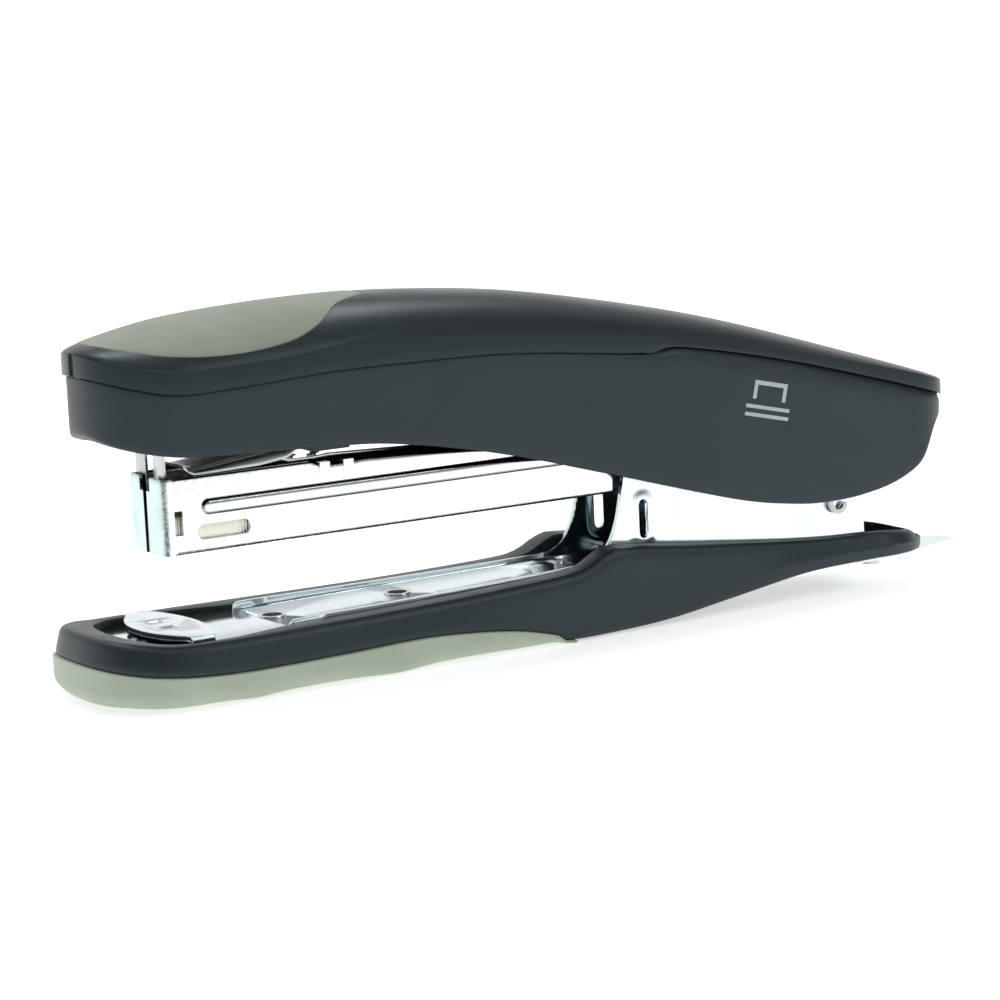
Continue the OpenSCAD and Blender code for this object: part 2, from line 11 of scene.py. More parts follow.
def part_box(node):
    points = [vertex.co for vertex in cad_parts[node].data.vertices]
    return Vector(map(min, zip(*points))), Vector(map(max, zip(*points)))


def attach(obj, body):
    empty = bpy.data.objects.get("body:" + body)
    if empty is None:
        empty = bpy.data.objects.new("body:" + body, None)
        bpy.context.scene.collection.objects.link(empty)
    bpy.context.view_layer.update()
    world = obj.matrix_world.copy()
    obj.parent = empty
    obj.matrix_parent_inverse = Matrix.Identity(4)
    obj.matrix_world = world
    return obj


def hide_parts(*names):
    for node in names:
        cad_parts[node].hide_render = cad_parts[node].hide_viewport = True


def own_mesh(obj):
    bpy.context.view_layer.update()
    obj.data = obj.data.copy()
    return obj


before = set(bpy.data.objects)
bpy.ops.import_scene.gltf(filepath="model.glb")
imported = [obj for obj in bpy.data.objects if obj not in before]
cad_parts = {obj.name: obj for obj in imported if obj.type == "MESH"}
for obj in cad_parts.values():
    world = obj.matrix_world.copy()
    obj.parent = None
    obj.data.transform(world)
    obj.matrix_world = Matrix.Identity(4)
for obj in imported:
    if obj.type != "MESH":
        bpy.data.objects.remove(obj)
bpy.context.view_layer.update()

MAG_X, MAG_Z, MAG_W, MAG_T, MAG_H = 12.5, 27.2, 15.2, 0.7, 14.8
TIP_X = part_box("magazine_cover")[0].x - MAG_X * 0.001     # the handle's front tip in the row frame


def box_mm(name):
    """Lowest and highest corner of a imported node, in the shape code's millimetres."""
    return [((c.x - TIP_X) * 1000, c.y * 1000, c.z * 1000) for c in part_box(name)]


# ---- curves and outlines
def smooth(points, n=8):
    """Smooth curve through every point, as x and z arrays."""
    out = []
    last = len(points) - 1
    for i in range(last):
        a, b, c, d = (np.array(points[j], float) for j in (max(i - 1, 0), i, i + 1, min(i + 2, last)))
        for k in range(n):
            t = k / n
            out.append(0.5 * (2 * b + (c - a) * t + (2 * a - 5 * b + 4 * c - d) * t * t
                              + (3 * b - a - 3 * c + d) * t ** 3))
    out.append(np.array(points[-1], float))
    return np.array(out)


def line(points, n=8):
    """Height as a function of x along a smooth line."""
    c = smooth(points, n)
    return lambda x: np.interp(x, c[:, 0], c[:, 1])


def ease(a, b, x):
    t = np.clip((np.asarray(x, float) - a) / (b - a), 0, 1)
    return t * t * (3 - 2 * t)


def round_end(d, a, power):
    d = np.minimum(np.maximum(d, 0), a)
    return np.maximum(0, 1 - ((a - d) / a) ** power) ** (1 / power)


def ends(o, x):
    """Share of the full width that an outline's rounded ends leave at x."""
    return round_end(x - o[0], o[1], o[2]) * round_end(o[7] - x, o[6], o[2])


def half_w(o, x):
    """Half width of an outline: nose x, nose length, power, width, taper start, tail width, tail length
    and tail x."""
    w = np.where(x < o[4], o[3], o[3] + (o[5] - o[3]) * (x - o[4]) / (o[7] - o[6] - o[4]))
    return np.maximum(w, o[5]) / 2 * ends(o, x)


def inset(o, g):
    return (o[0] + g, o[1] - g / 2, o[2], o[3] - 2 * g, o[4], o[5] - 2 * g, o[6] - g / 2, o[7] - g)


def stations(o, n_nose, n_mid, n_tail):
    nose = o[0] + o[1] * (1 - np.cos(np.linspace(0, math.pi / 2, n_nose, endpoint=False)))
    mid = np.linspace(o[0] + o[1], o[7] - o[6], n_mid, endpoint=False)
    tail = o[7] - o[6] * (1 - np.sin(np.linspace(0, math.pi / 2, n_tail + 1)))
    return np.concatenate([nose, mid, tail])


CAP = (-1, 17, 2.3, 33, 60, 26, 13, 199)
HOUSING = inset(CAP, 0.7)
BASE = (-5, 20, 2.5, 42.4, 25, 23, 15, 193)
TRAY = (2.5, 13, 2.4, 33, 22, 26, 14, 50)

crown = line([(-1, 67.2), (3, 68.6), (18, 71.7), (36, 73), (54, 73.3), (71, 72.6), (94, 70.2), (121, 65.1),
              (145, 59.2), (174, 50.2), (186, 46.3), (199, 41.9)])
crease = line([(-1, 66.8), (6, 64.8), (14, 63.5), (27, 63.5), (45, 64.5), (61, 64.7), (84, 63.5), (106, 61.4),
               (129, 57.8), (152, 53.4), (176, 47.5), (187, 44.6), (199, 41.2)])
seam = line([(-1, 62.8), (6, 60.6), (14, 59.1), (27, 59.3), (45, 60.2), (61, 60.2), (84, 59.6), (106, 57.4),
             (129, 54.4), (152, 49.1), (176, 42.1), (187, 38.6), (199, 35)])
lower = line([(-1, 52.5), (3, 49.6), (13, 47.3), (26, 46.4), (45, 45.7), (60, 44.4), (83, 39.7), (109, 32.3),
              (139, 23.5), (154, 20.6), (163, 19.9), (172, 20.3), (181, 22), (188, 25.6), (193, 33),
              (199, 35)])
rim = line([(-5, 14.2), (3, 13), (12, 12.2), (40, 12.2), (70, 12.5), (95, 13.3), (102, 14.2), (107, 16.6),
            (112, 17.1), (133, 14.7), (160, 12), (178, 11.2), (188, 10), (193, 8.4)])
under = line([(-8, 9.2), (-3, 8), (5, 6.9), (20, 6), (42, 6), (61, 6.3), (75, 5.4), (85, 4), (93, 2),
              (97, 0.4), (119, 0.7), (139, 3), (157, 5.2), (172, 5.6), (193, 5.6)])


def floor_top(x):
    return np.interp(x, [0, 112, 121, 189], [10.6, 13.1, 12.6, 9.2])


# ---- mesh helpers
def to_mesh(name, verts, faces, merge=0.002):
    me = bpy.data.meshes.new(name)
    me.from_pydata([tuple(map(float, v)) for v in verts], [], faces)
    bm = bmesh.new()
    bm.from_mesh(me)
    bmesh.ops.remove_doubles(bm, verts=bm.verts, dist=merge)
    bmesh.ops.dissolve_degenerate(bm, edges=bm.edges, dist=merge / 4)
    bmesh.ops.recalc_face_normals(bm, faces=bm.faces)
    bm.to_mesh(me)
    bm.free()
    return me


def piece(name, me, body, mat, replaces=(), angle=35):
    """Puts a millimetre mesh in the row frame as a piece on a body."""
    me.transform(Matrix.Translation((TIP_X, 0, 0)) @ Matrix.Scale(0.001, 4))
    o = bpy.data.objects.new(name, me)
    bpy.context.scene.collection.objects.link(o)
    me.polygons.foreach_set("use_smooth", [True] * len(me.polygons))
    me.set_sharp_from_angle(angle=math.radians(angle))
    me.materials.clear()
    me.materials.append(mat)
    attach(o, body)
    if replaces:
        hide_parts(*replaces)
    return o


def tube_faces(rows, n):
    """Faces of a skin over rows of n points, each row a closed ring."""
    return [(i * n + j, i * n + (j + 1) % n, (i + 1) * n + (j + 1) % n, (i + 1) * n + j)
            for i in range(rows - 1) for j in range(n)]


def end_faces(rows, n):
    """The two flat ends of such a skin."""
    return [tuple(range(n))[::-1], tuple((rows - 1) * n + j for j in range(n))]


def ladder(base, n):
    """Faces across a ring of n points that runs out along the near side and back along the far side."""
    faces = []
    for j in range(n // 2):
        q = dict.fromkeys([base + j, base + j + 1, base + (n - j - 1) % n, base + (n - j) % n])
        if len(q) > 2:
            faces.append(tuple(q))
    return faces


def loops_mesh(name, loops, closed=False):
    """A skin over rings of equal length. It is capped at both ends, or joined from the last to the first."""
    rows, n = len(loops), len(loops[0])
    last = (rows - 1) * n
    faces = tube_faces(rows, n)
    if closed:
        faces += [(last + j, last + (j + 1) % n, (j + 1) % n, j) for j in range(n)]
    else:
        faces += ladder(0, n) + ladder(last, n)
    return to_mesh(name, [p for l in loops for p in l], faces)


def ring(xs, ws, zs):
    """Ring of points from half widths and heights along x."""
    near = [(x, -w, z) for x, w, z in zip(xs, ws, zs)]
    far = [(x, w, z) for x, w, z in zip(xs[-2:0:-1], ws[-2:0:-1], zs[-2:0:-1])]
    return near + far


def prism(name, outline, axis, a, b):
    """Outline extruded along axis from a to b. The outline's two numbers are the other two axes, in order."""
    put = {"x": lambda p, h: (h, p[0], p[1]), "y": lambda p, h: (p[0], h, p[1]),
           "z": lambda p, h: (p[0], p[1], h)}[axis]
    n = len(outline)
    verts = [put(p, a) for p in outline] + [put(p, b) for p in outline]
    faces = [tuple(range(n)), tuple(range(n, 2 * n))[::-1]]
    faces += [(j, (j + 1) % n, n + (j + 1) % n, n + j) for j in range(n)]
    return to_mesh(name, verts, faces, 1e-4)


def disc(cx, cy, r, n=32):
    turns = [2 * math.pi * i / n for i in range(n)]
    return [(cx + r * math.cos(a), cy + r * math.sin(a)) for a in turns]


def stadium(x0, x1, z, r, n=12):
    """Slot outline with round ends."""
    left = [(x0 - r * math.sin(math.pi * i / n), z - r * math.cos(math.pi * i / n)) for i in range(n + 1)]
    right = [(x1 + r * math.sin(math.pi * i / n), z + r * math.cos(math.pi * i / n)) for i in range(n + 1)]
    return left[::-1] + right[::-1]


def rect(x0, x1, z0, z1):
    return [(x0, z0), (x1, z0), (x1, z1), (x0, z1)]


def join(name, meshes):
    bm = bmesh.new()
    for m in meshes:
        bm.from_mesh(m)
    me = bpy.data.meshes.new(name)
    bm.to_mesh(me)
    bm.free()
    return me


def apply_modifiers(me, build):
    """Runs modifiers that build(object) adds and gives back the finished mesh."""
    o = bpy.data.objects.new("work", me)
    bpy.context.scene.collection.objects.link(o)
    extra = build(o) or []
    bpy.context.view_layer.update()
    out = bpy.data.meshes.new_from_object(o.evaluated_get(bpy.context.evaluated_depsgraph_get()))
    for e in [o, *extra]:
        bpy.data.objects.remove(e)
    return out


def boolean(me, others, operation):
    """me joined with the others' solids, cut by them or kept only inside them, one after another."""
    def build(o):
        made = []
        for other in others:
            k = bpy.data.objects.new("other", other)
            bpy.context.scene.collection.objects.link(k)
            m = o.modifiers.new("bool", "BOOLEAN")
            m.operation, m.solver, m.object = operation, "EXACT", k
            made.append(k)
        return made
    return apply_modifiers(me, build)


def cut(me, cutters):
    return boolean(me, cutters, "DIFFERENCE")


def add_bevel(o, width, segments, angle):
    m = o.modifiers.new("bevel", "BEVEL")
    m.width, m.segments, m.limit_method, m.angle_limit = width, segments, "ANGLE", math.radians(angle)


def bevelled(me, width, segments, angle):
    return apply_modifiers(me, lambda o: add_bevel(o, width, segments, angle))


# ---- materials
class Shade:
    """A small builder for node materials in object coordinates."""

    def __init__(self, name, color, metallic, roughness, **sockets):
        self.mat = bpy.data.materials.new(name)
        self.mat.use_nodes = True
        self.t = self.mat.node_tree
        self.b = self.t.nodes["Principled BSDF"]
        self.set("Base Color", (*color, 1))
        self.set("Metallic", metallic)
        self.set("Roughness", roughness)
        for k, v in sockets.items():
            self.set(k.replace("_", " "), v)
        self.coord = self.t.nodes.new("ShaderNodeTexCoord").outputs["Object"]

    def set(self, socket, value):
        self.b.inputs[socket].default_value = value

    def link(self, a, b):
        self.t.links.new(a, b)

    def stretched(self, scale):
        m = self.t.nodes.new("ShaderNodeMapping")
        m.inputs["Scale"].default_value = scale
        self.link(self.coord, m.inputs["Vector"])
        return m.outputs["Vector"]

    def noise(self, scale, detail=3, rough=0.6, stretch=(1, 1, 1)):
        n = self.t.nodes.new("ShaderNodeTexNoise")
        n.inputs["Scale"].default_value = scale
        n.inputs["Detail"].default_value = detail
        n.inputs["Roughness"].default_value = rough
        self.link(self.stretched(stretch), n.inputs["Vector"])
        return n.outputs["Fac"]

    def cells(self, scale, stretch=(1, 1, 1)):
        n = self.t.nodes.new("ShaderNodeTexVoronoi")
        n.inputs["Scale"].default_value = scale
        self.link(self.stretched(stretch), n.inputs["Vector"])
        return n.outputs["Distance"]

    def to_range(self, value, a, b, lo=0.3, hi=0.7):
        r = self.t.nodes.new("ShaderNodeMapRange")
        r.inputs["From Min"].default_value = lo
        r.inputs["From Max"].default_value = hi
        r.inputs["To Min"].default_value = a
        r.inputs["To Max"].default_value = b
        self.link(value, r.inputs["Value"])
        return r.outputs["Result"]

    def tint(self, factor, a, b):
        m = self.t.nodes.new("ShaderNodeMix")
        m.data_type = "RGBA"
        for socket, v in ((m.inputs[6], a), (m.inputs[7], b)):
            if hasattr(v, "is_output"):
                self.link(v, socket)
            else:
                socket.default_value = (*v, 1)
        self.link(factor, m.inputs["Factor"])
        return m.outputs[2]

    def calc(self, operation, first, second=None):
        m = self.t.nodes.new("ShaderNodeMath")
        m.operation = operation
        self.link(first, m.inputs[0])
        if hasattr(second, "is_output"):
            self.link(second, m.inputs[1])
        elif second is not None:
            m.inputs[1].default_value = second
        return m.outputs[0]

    def times(self, first, *others):
        for other in others:
            first = self.calc("MULTIPLY", first, other)
        return first

    def edges(self, lo=0.52, hi=0.6):
        g = self.t.nodes.new("ShaderNodeNewGeometry")
        return self.to_range(g.outputs["Pointiness"], 0, 1, lo, hi)

    def bump(self, layers):
        """layers = [(height output, distance in metres, strength)], the coarsest first."""
        normal = None
        for height, distance, strength in layers:
            n = self.t.nodes.new("ShaderNodeBump")
            n.inputs["Distance"].default_value = distance
            n.inputs["Strength"].default_value = strength
            self.link(height, n.inputs["Height"])
            if normal:
                self.link(normal, n.inputs["Normal"])
            normal = n.outputs["Normal"]
        self.link(normal, self.b.inputs["Normal"])

    def color(self, output):
        self.link(output, self.b.inputs["Base Color"])

    def rough(self, output):
        self.link(output, self.b.inputs["Roughness"])


def moulded(name, dark, light, wear_and_highlight, r0, r1, shine=0.5, grain=5200):
    """Moulded plastic: fine spark-eroded grain, slow tone change, paler edges (wear and painted highlight).
    """
    s = Shade(name, dark, 0, r0, Specular_IOR_Level=shine, Specular_Tint=(0.8, 0.97, 1, 1))
    slow = s.to_range(s.noise(38, 4), 0, 1)
    # convex edges take the paler edge colour: partly wear, partly a painted highlight along the edges
    s.color(s.tint(s.edges(), s.tint(slow, dark, light), wear_and_highlight))
    s.rough(s.to_range(s.noise(70, 5, 0.7), r0, r1))
    s.bump([(s.noise(60, 2), 0.0006, 0.05), (s.noise(grain, 2, 0.5), 0.00006, 0.35),
            (s.cells(grain * 0.55), 0.00003, 0.25)])
    return s.mat


def rubber(name, dark, light, r0, r1):
    """Soft-touch rubber: powdery sheen, fine grain and faint handling marks."""
    s = Shade(name, dark, 0, r0, Specular_IOR_Level=0.35, Sheen_Weight=0.25, Sheen_Roughness=0.5)
    s.color(s.tint(s.to_range(s.noise(55, 5, 0.65), 0, 1), dark, light))
    s.rough(s.to_range(s.noise(140, 4), r0, r1))
    s.bump([(s.noise(900, 3), 0.00008, 0.25), (s.noise(4200, 2), 0.00005, 0.5)])
    return s.mat


def metal(name, dark, light, r0, r1, along=(1, 14, 14), depth=0.15):
    """Sheet metal: rolled grain along x, small scratches, uneven polish."""
    s = Shade(name, light, 1, r0)
    s.color(s.tint(s.to_range(s.noise(90, 4, 0.6), 0, 1), dark, light))
    s.rough(s.to_range(s.noise(260, 5, 0.75, along), r0, r1))
    s.bump([(s.noise(130, 2), 0.0002, depth * 0.5), (s.noise(900, 3, 0.7, along), 0.00002, depth)])
    return s.mat


# each moulded plastic's third colour is its edge colour, partly wear and partly a painted highlight
LOOKS = {
    "charcoal": moulded("charcoal_plastic", (0.0075, 0.0105, 0.0125), (0.0105, 0.014, 0.0165),
                        (0.03, 0.036, 0.042), 0.4, 0.48),
    "cap": moulded("cap_plastic", (0.0025, 0.0045, 0.0055), (0.0045, 0.007, 0.0085),
                   (0.02, 0.024, 0.028), 0.27, 0.34, 0.42),
    "base": moulded("base_plastic", (0.0085, 0.0115, 0.0135), (0.012, 0.0155, 0.018),
                    (0.034, 0.04, 0.045), 0.36, 0.44),
    "grip": rubber("soft_grip", (0.235, 0.26, 0.2), (0.27, 0.297, 0.228), 0.62, 0.75),
    "sole": rubber("sole_rubber", (0.36, 0.42, 0.325), (0.42, 0.48, 0.38), 0.55, 0.7),
    "nickel": metal("bright_nickel", (0.68, 0.77, 0.8), (0.8, 0.87, 0.89), 0.08, 0.15),
    "steel": metal("sheet_steel", (0.42, 0.44, 0.42), (0.52, 0.54, 0.51), 0.22, 0.34, depth=0.35),
    "spring": metal("spring_steel", (0.42, 0.46, 0.45), (0.56, 0.6, 0.58), 0.18, 0.28, depth=0.25),
    "zinc": metal("zinc_plate", (0.55, 0.56, 0.55), (0.7, 0.7, 0.69), 0.22, 0.34, (1, 1, 1), 0.3),
    "wire": metal("staple_wire", (0.9, 0.89, 0.76), (0.96, 0.95, 0.84), 0.28, 0.4, (14, 1, 1), 0.2),
    "nylon": moulded("black_nylon", (0.008, 0.008, 0.009), (0.013, 0.013, 0.014),
                     (0.03, 0.03, 0.032), 0.35, 0.45),
    "print": rubber("pad_print", (0.36, 0.41, 0.46), (0.44, 0.49, 0.54), 0.45, 0.55),
}

# ---- handle: housing
REACH, POWER = 0.92, 2.35             # how far round its curve the crown goes, and the curve's power
LIP = 0.48                            # where the cap's lip ends over the rear panel
HOUSING_STEPS = (26, 74, 22)          # stations in the nose, the middle and the tail


def panel(x):
    """Share of the side panel that stands proud at the rear of the handle."""
    return ease(114, 127, x)


def housing_ring(g_front, g_rear, z_of):
    """Ring of the housing, g_front inside its outline at the front and g_rear at the rear."""
    o = inset(HOUSING, g_front)
    xs = stations(o, *HOUSING_STEPS)
    extra = (g_front - g_rear) * ease(104, 134, xs)
    return ring(xs, half_w(o, xs) + extra * ends(o, xs), z_of(xs))


def housing():
    top = lambda x: seam(x) + LIP * panel(x) * (crease(x) - seam(x))
    mix = lambda x, a, b: a * (1 - panel(x)) + b * panel(x)
    side_top = lambda x: mix(x, seam(x) - 0.4, top(x) - 1.55)
    proud = -0.85
    loops = [
        # inner wall, up
        housing_ring(2.0, 2.0, lambda x: lower(x) + 0.35),
        housing_ring(2.0, 2.0, lambda x: (lower(x) + seam(x)) / 2),
        housing_ring(2.0, 2.0, lambda x: mix(x, seam(x) - 0.05, top(x) + 0.1)),
        # top edge and the chamfer that leads up to the cap's lip
        housing_ring(1.2, 1.1, lambda x: mix(x, seam(x) - 0.02, top(x) + 0.1)),
        housing_ring(0.35, 0.1, lambda x: mix(x, seam(x) - 0.02, top(x) - 0.02)),
        housing_ring(0.12, -0.1, lambda x: mix(x, seam(x) - 0.12, top(x) - 0.2)),
        housing_ring(0.02, -0.74, lambda x: mix(x, seam(x) - 0.28, top(x) - 1.3)),
        housing_ring(0, proud, side_top),
    ]
    # outer side, down
    for f in (0.12, 0.25, 0.4, 0.55, 0.7, 0.82, 0.92):
        loops.append(housing_ring(0, proud * (1 - 0.25 * f),
                                  lambda x, f=f: (1 - f) * side_top(x) + f * (lower(x) + 1.0)))
    loops += [
        housing_ring(0.02, -0.62, lambda x: lower(x) + 0.55),
        housing_ring(0.12, -0.5, lambda x: lower(x) + 0.2),
        housing_ring(0.36, -0.2, lower),
        housing_ring(1.7, 1.7, lower),
    ]
    return loops_mesh("handle_housing_looks", loops, closed=True)


# ---- handle: cap and soft inlay
EDGE = (1 - REACH ** POWER) ** (1 / POWER)
grip_curve = smooth([(-1.5, 69.6), (4.3, 67.9), (12.4, 66.4), (21, 65.7), (29.4, 65.8), (38.2, 66.9),
                     (44.2, 68.8), (48, 70.6), (50.4, 71.75), (53, 72.4), (57, 72.85), (62, 73.15),
                     (68, 73.4)], 12)


def crown_z(x, s, drop=0.0):
    """Height of the crown at share s of the half width."""
    zt, zc = crown(x) - drop, crease(x)
    zt = np.maximum(zt, zc + 0.05)
    f = ((1 - np.abs(REACH * s) ** POWER) ** (1 / POWER) - EDGE) / (1 - EDGE)
    return zc + (zt - zc) * f


def grip_share(x):
    """Share of the half width that the soft inlay covers at x, 0 outside it."""
    g = np.interp(x, grip_curve[:, 0], grip_curve[:, 1])
    if x <= -1 or crown_z(x, 0.0) <= g:
        return 0.0
    lo, hi = 0.0, 0.999
    if crown_z(x, hi) > g:
        return hi
    for _ in range(40):
        m = (lo + hi) / 2
        lo, hi = (m, hi) if crown_z(x, m) > g else (lo, m)
    return lo


grip_xs = [x for x in np.arange(0, 60, 0.05) if grip_share(x) > 0.0]
GRIP_A, GRIP_B = float(grip_xs[0]), float(grip_xs[-1])


def cap_section(x):
    """One half of the cap at x: points from the skirt's inner edge over the rim, and the half width where
    the crown begins."""
    w = float(half_w(CAP, x))
    shape = w / float(half_w(CAP, CAP[4]))
    b = float(panel(x))
    zs, zc = float(seam(x)), float(crease(x))
    lip = zs + LIP * b * (zc - zs)
    back = min(1.5 * b, w)
    tilt = min(0.12, w * 0.5)
    pts = [(w - min(2.2, w), zs + 0.25), (w - back - min(0.3, w * 0.3), zs), (w - back, zs + 0.12),
           (w - back * 0.98, lip - 0.02), (w - 0.05 * min(1, shape), lip + 0.1), (w, lip + 0.35),
           (w - tilt * 0.35, lip + 0.45 * (zc - lip)), (w - tilt * 0.8, zc - 0.35), (w - tilt, zc - 0.1)]
    return pts, max(w - tilt - 0.12 * min(1, w), 0)


def cap():
    xs = stations(CAP, 30, 96, 24)
    xs = np.unique(np.concatenate([xs, np.linspace(GRIP_A, GRIP_A + 2.5, 10),
                                   np.linspace(GRIP_B - 4, GRIP_B, 14)]))
    n_s, n_f = 22, 10
    rows = []
    for x in xs:
        x = float(x)
        half, top = cap_section(x)
        sb = grip_share(x) if GRIP_A < x < GRIP_B else 0.0
        depth = 1.0 if sb > 0 else 0.0
        groove = 0.16 / max(top, 0.5)
        for i in range(n_s):
            f = 1 - (1 - i / (n_s - 1)) ** 1.5
            s = 1 - f * (1 - min(sb + groove * (sb > 0), 1.0))
            half.append((top * s, float(crown_z(x, s))))
        edge = min(sb + groove * 0.6, 1.0) if sb > 0 else 0.0
        half.append((top * edge, float(crown_z(x, edge)) - 0.12 * (sb > 0)))
        half.append((top * sb, float(crown_z(x, sb)) - depth))
        for i in range(1, n_f + 1):
            s = sb * (1 - i / n_f)
            half.append((top * s, float(crown_z(x, s)) - depth))
        rows.append([(x, -y, z) for y, z in half] + [(x, y, z) for y, z in half[-2::-1]])
    # inner face, plain
    inner_o = inset(CAP, 2.2)
    inner_xs = np.clip(xs, inner_o[0] + 0.02, inner_o[7] - 0.02)
    inner = []
    m = len(rows[0])
    for x, xo in zip(inner_xs, xs):
        w = float(half_w(inner_o, x))
        t = np.linspace(-1, 1, m)
        row = [(float(x), -w, float(seam(xo)) + 0.25)]
        row += [(float(x), float(w * math.sin(math.pi / 2 * u)),
                 float(crown_z(x, math.sin(math.pi / 2 * u), 2.3)) - 0.3) for u in t[1:-1]]
        row += [(float(x), w, float(seam(xo)) + 0.25)]
        inner.append(row)
    verts = [p for r in rows + inner for p in r]
    n, k = len(rows), len(rows) * m
    faces = []
    for i in range(n - 1):
        for j in range(m - 1):
            a = i * m + j
            faces.append((a, a + 1, a + m + 1, a + m))
            faces.append((k + a, k + a + m, k + a + m + 1, k + a + 1))
        for j in (0, m - 1):
            a = i * m + j
            faces.append((a, a + m, k + a + m, k + a))
    for i in (0, n - 1):
        for j in range(m - 1):
            a = i * m + j
            faces.append((k + a, k + a + 1, a + 1, a))
    return to_mesh("top_cap_looks", verts, faces, 0.004)


def inlay():
    xs = GRIP_A + (GRIP_B - GRIP_A) * (1 - np.cos(np.linspace(0.03, math.pi - 0.03, 110))) / 2
    rows = []
    n = 36
    for x in xs:
        x = float(x)
        top = cap_section(x)[1]
        sb = max(grip_share(x) - 0.06 / top, 0.002)
        d = min(x - GRIP_A, GRIP_B - x)
        grow = math.sqrt(max(0, 1 - (1 - min(d / 1.2, 1)) ** 2))
        upper, bottom = [], []
        for u in np.linspace(-1, 1, n + 1):
            q = math.sin(math.pi / 2 * u)
            near_edge = max(0.0, 1 - (1 - abs(q)) * sb * top / 0.7)
            lift = 0.24 * math.sqrt(max(0.0, 1 - near_edge ** 2)) * grow
            upper.append((x, q * sb * top, float(crown_z(x, q * sb)) - 0.12 + lift))
            bottom.append((x, q * sb * top, float(crown_z(x, q * sb)) - 0.9))
        rows.append(upper + bottom[::-1])
    m = len(rows[0])
    verts = [p for r in rows for p in r]
    faces = tube_faces(len(rows), m)
    for a in (0, (len(rows) - 1) * m):
        faces += [(a + j, a + j + 1, a + m - 2 - j, a + m - 1 - j) for j in range(n)]
    return to_mesh("grip_inlay_looks", verts, faces, 0.001)


piece("handle_housing_looks", housing(), "handle", LOOKS["charcoal"], ["handle_housing"])
piece("top_cap_looks", cap(), "handle", LOOKS["cap"], ["top_cap"], 28)
piece("grip_inlay_looks", inlay(), "handle", LOOKS["grip"], ["grip_inlay"], 60)

# ---- base: moulded shell and rubber sole
BASE_STEPS = (28, 90, 22)             # stations in the nose, the middle and the tail
POCKET_X, POCKET_R = 189.0, 6.0       # tail end and end rounding of the tray's tail pocket
RIVET_XS = (38, 66)
SCREW_XS = (104, 150)


def tray_w(x):
    """Half width of the open tray: round nose, tapering channel, round tail pocket."""
    nose = half_w(TRAY, np.minimum(x, 36.0))
    channel = np.interp(x, [35, 108, 175.7], [13.15, 9.05, 9.05])
    w = np.where(x < 35.5, nose, channel)
    w = np.minimum(w, np.where(x > 60, channel, 99))
    tail = 8.0 * round_end(POCKET_X - x, POCKET_R, 2.3)
    return np.where(x > 176.2, tail, np.where(x > 175.2, np.minimum(channel, 8.6), w))


def tray_ring(xs, grow, z_of):
    t = np.array(xs)
    mid = (t > TRAY[0] + 1) & (t < POCKET_X - 1)
    w = tray_w(t) + np.where(mid, grow, 0)
    w[0] = w[-1] = 0
    x = t.copy()
    x[0] -= grow
    x[-1] += grow
    return ring(x, np.maximum(w, 0), z_of(x))


def base_ring(g, z_of, g_rear=None):
    """Ring of the base, g inside its outline and, where it is given, g_rear inside it at the rear."""
    o = inset(BASE, g)
    xs = stations(o, *BASE_STEPS)
    w = half_w(o, xs)
    if g_rear is not None:
        w = w + (g - g_rear) * ease(88, 112, xs) * ends(o, xs)
    return ring(xs, w, z_of(xs))


def shell():
    rear = lambda x: ease(90, 112, x)
    foot = lambda x: under(x) + 1.1 + 1.4 * rear(x)
    loops = [
        base_ring(1.6, under, 2.2),
        base_ring(0.4, lambda x: under(x) + 0.02, 0.9),
        base_ring(0.1, lambda x: under(x) + 0.2 + 0.1 * rear(x), 0.4),
        base_ring(0.0, lambda x: under(x) + 0.7 + 0.5 * rear(x), 0.08),
        base_ring(0.0, foot, 0.0),
    ]
    for f in (0.3, 0.6, 0.85):
        loops.append(base_ring(0.75 * f, lambda x, f=f: (1 - f) * foot(x) + f * (rim(x) - 1.5)))
    loops += [
        base_ring(0.8, lambda x: rim(x) - 1.35),
        base_ring(0.98, lambda x: rim(x) - 0.9),
        base_ring(1.3, lambda x: rim(x) - 0.45),
        base_ring(1.8, lambda x: rim(x) - 0.14),
        base_ring(2.4, rim),
    ]
    xs = stations((*TRAY[:6], POCKET_R, POCKET_X), *BASE_STEPS)
    loops += [
        tray_ring(xs, 0.55, lambda x: rim(x) - 0.02),
        tray_ring(xs, 0.2, lambda x: rim(x) - 0.12),
        tray_ring(xs, 0.02, lambda x: rim(x) - 0.4),
        tray_ring(xs, 0.0, lambda x: rim(x) - 1.0),
        tray_ring(xs, 0.0, lambda x: floor_top(x) - 1.0),
    ]
    me = loops_mesh("base_shell_looks", loops)
    cutters = [prism("c", disc(x, 0, 2.25), "z", -2, z + 3.0) for x, z in zip(SCREW_XS, (0.6, 4.4))]
    cutters += [prism("c", disc(x, 0, 2.72), "z", 2, 14) for x in RIVET_XS]
    return cut(me, cutters)


def sole_edge(x):
    """How far the flat underside stays in from the edge: the soft lobes of the sole."""
    lobes = sum(size * np.exp(-((x - at) / width) ** 2) for at, width, size in
                ((25, 4.5, 2.2), (56, 8.0, 3.52), (86, 9.0, 1.76)))
    return 6.6 - lobes


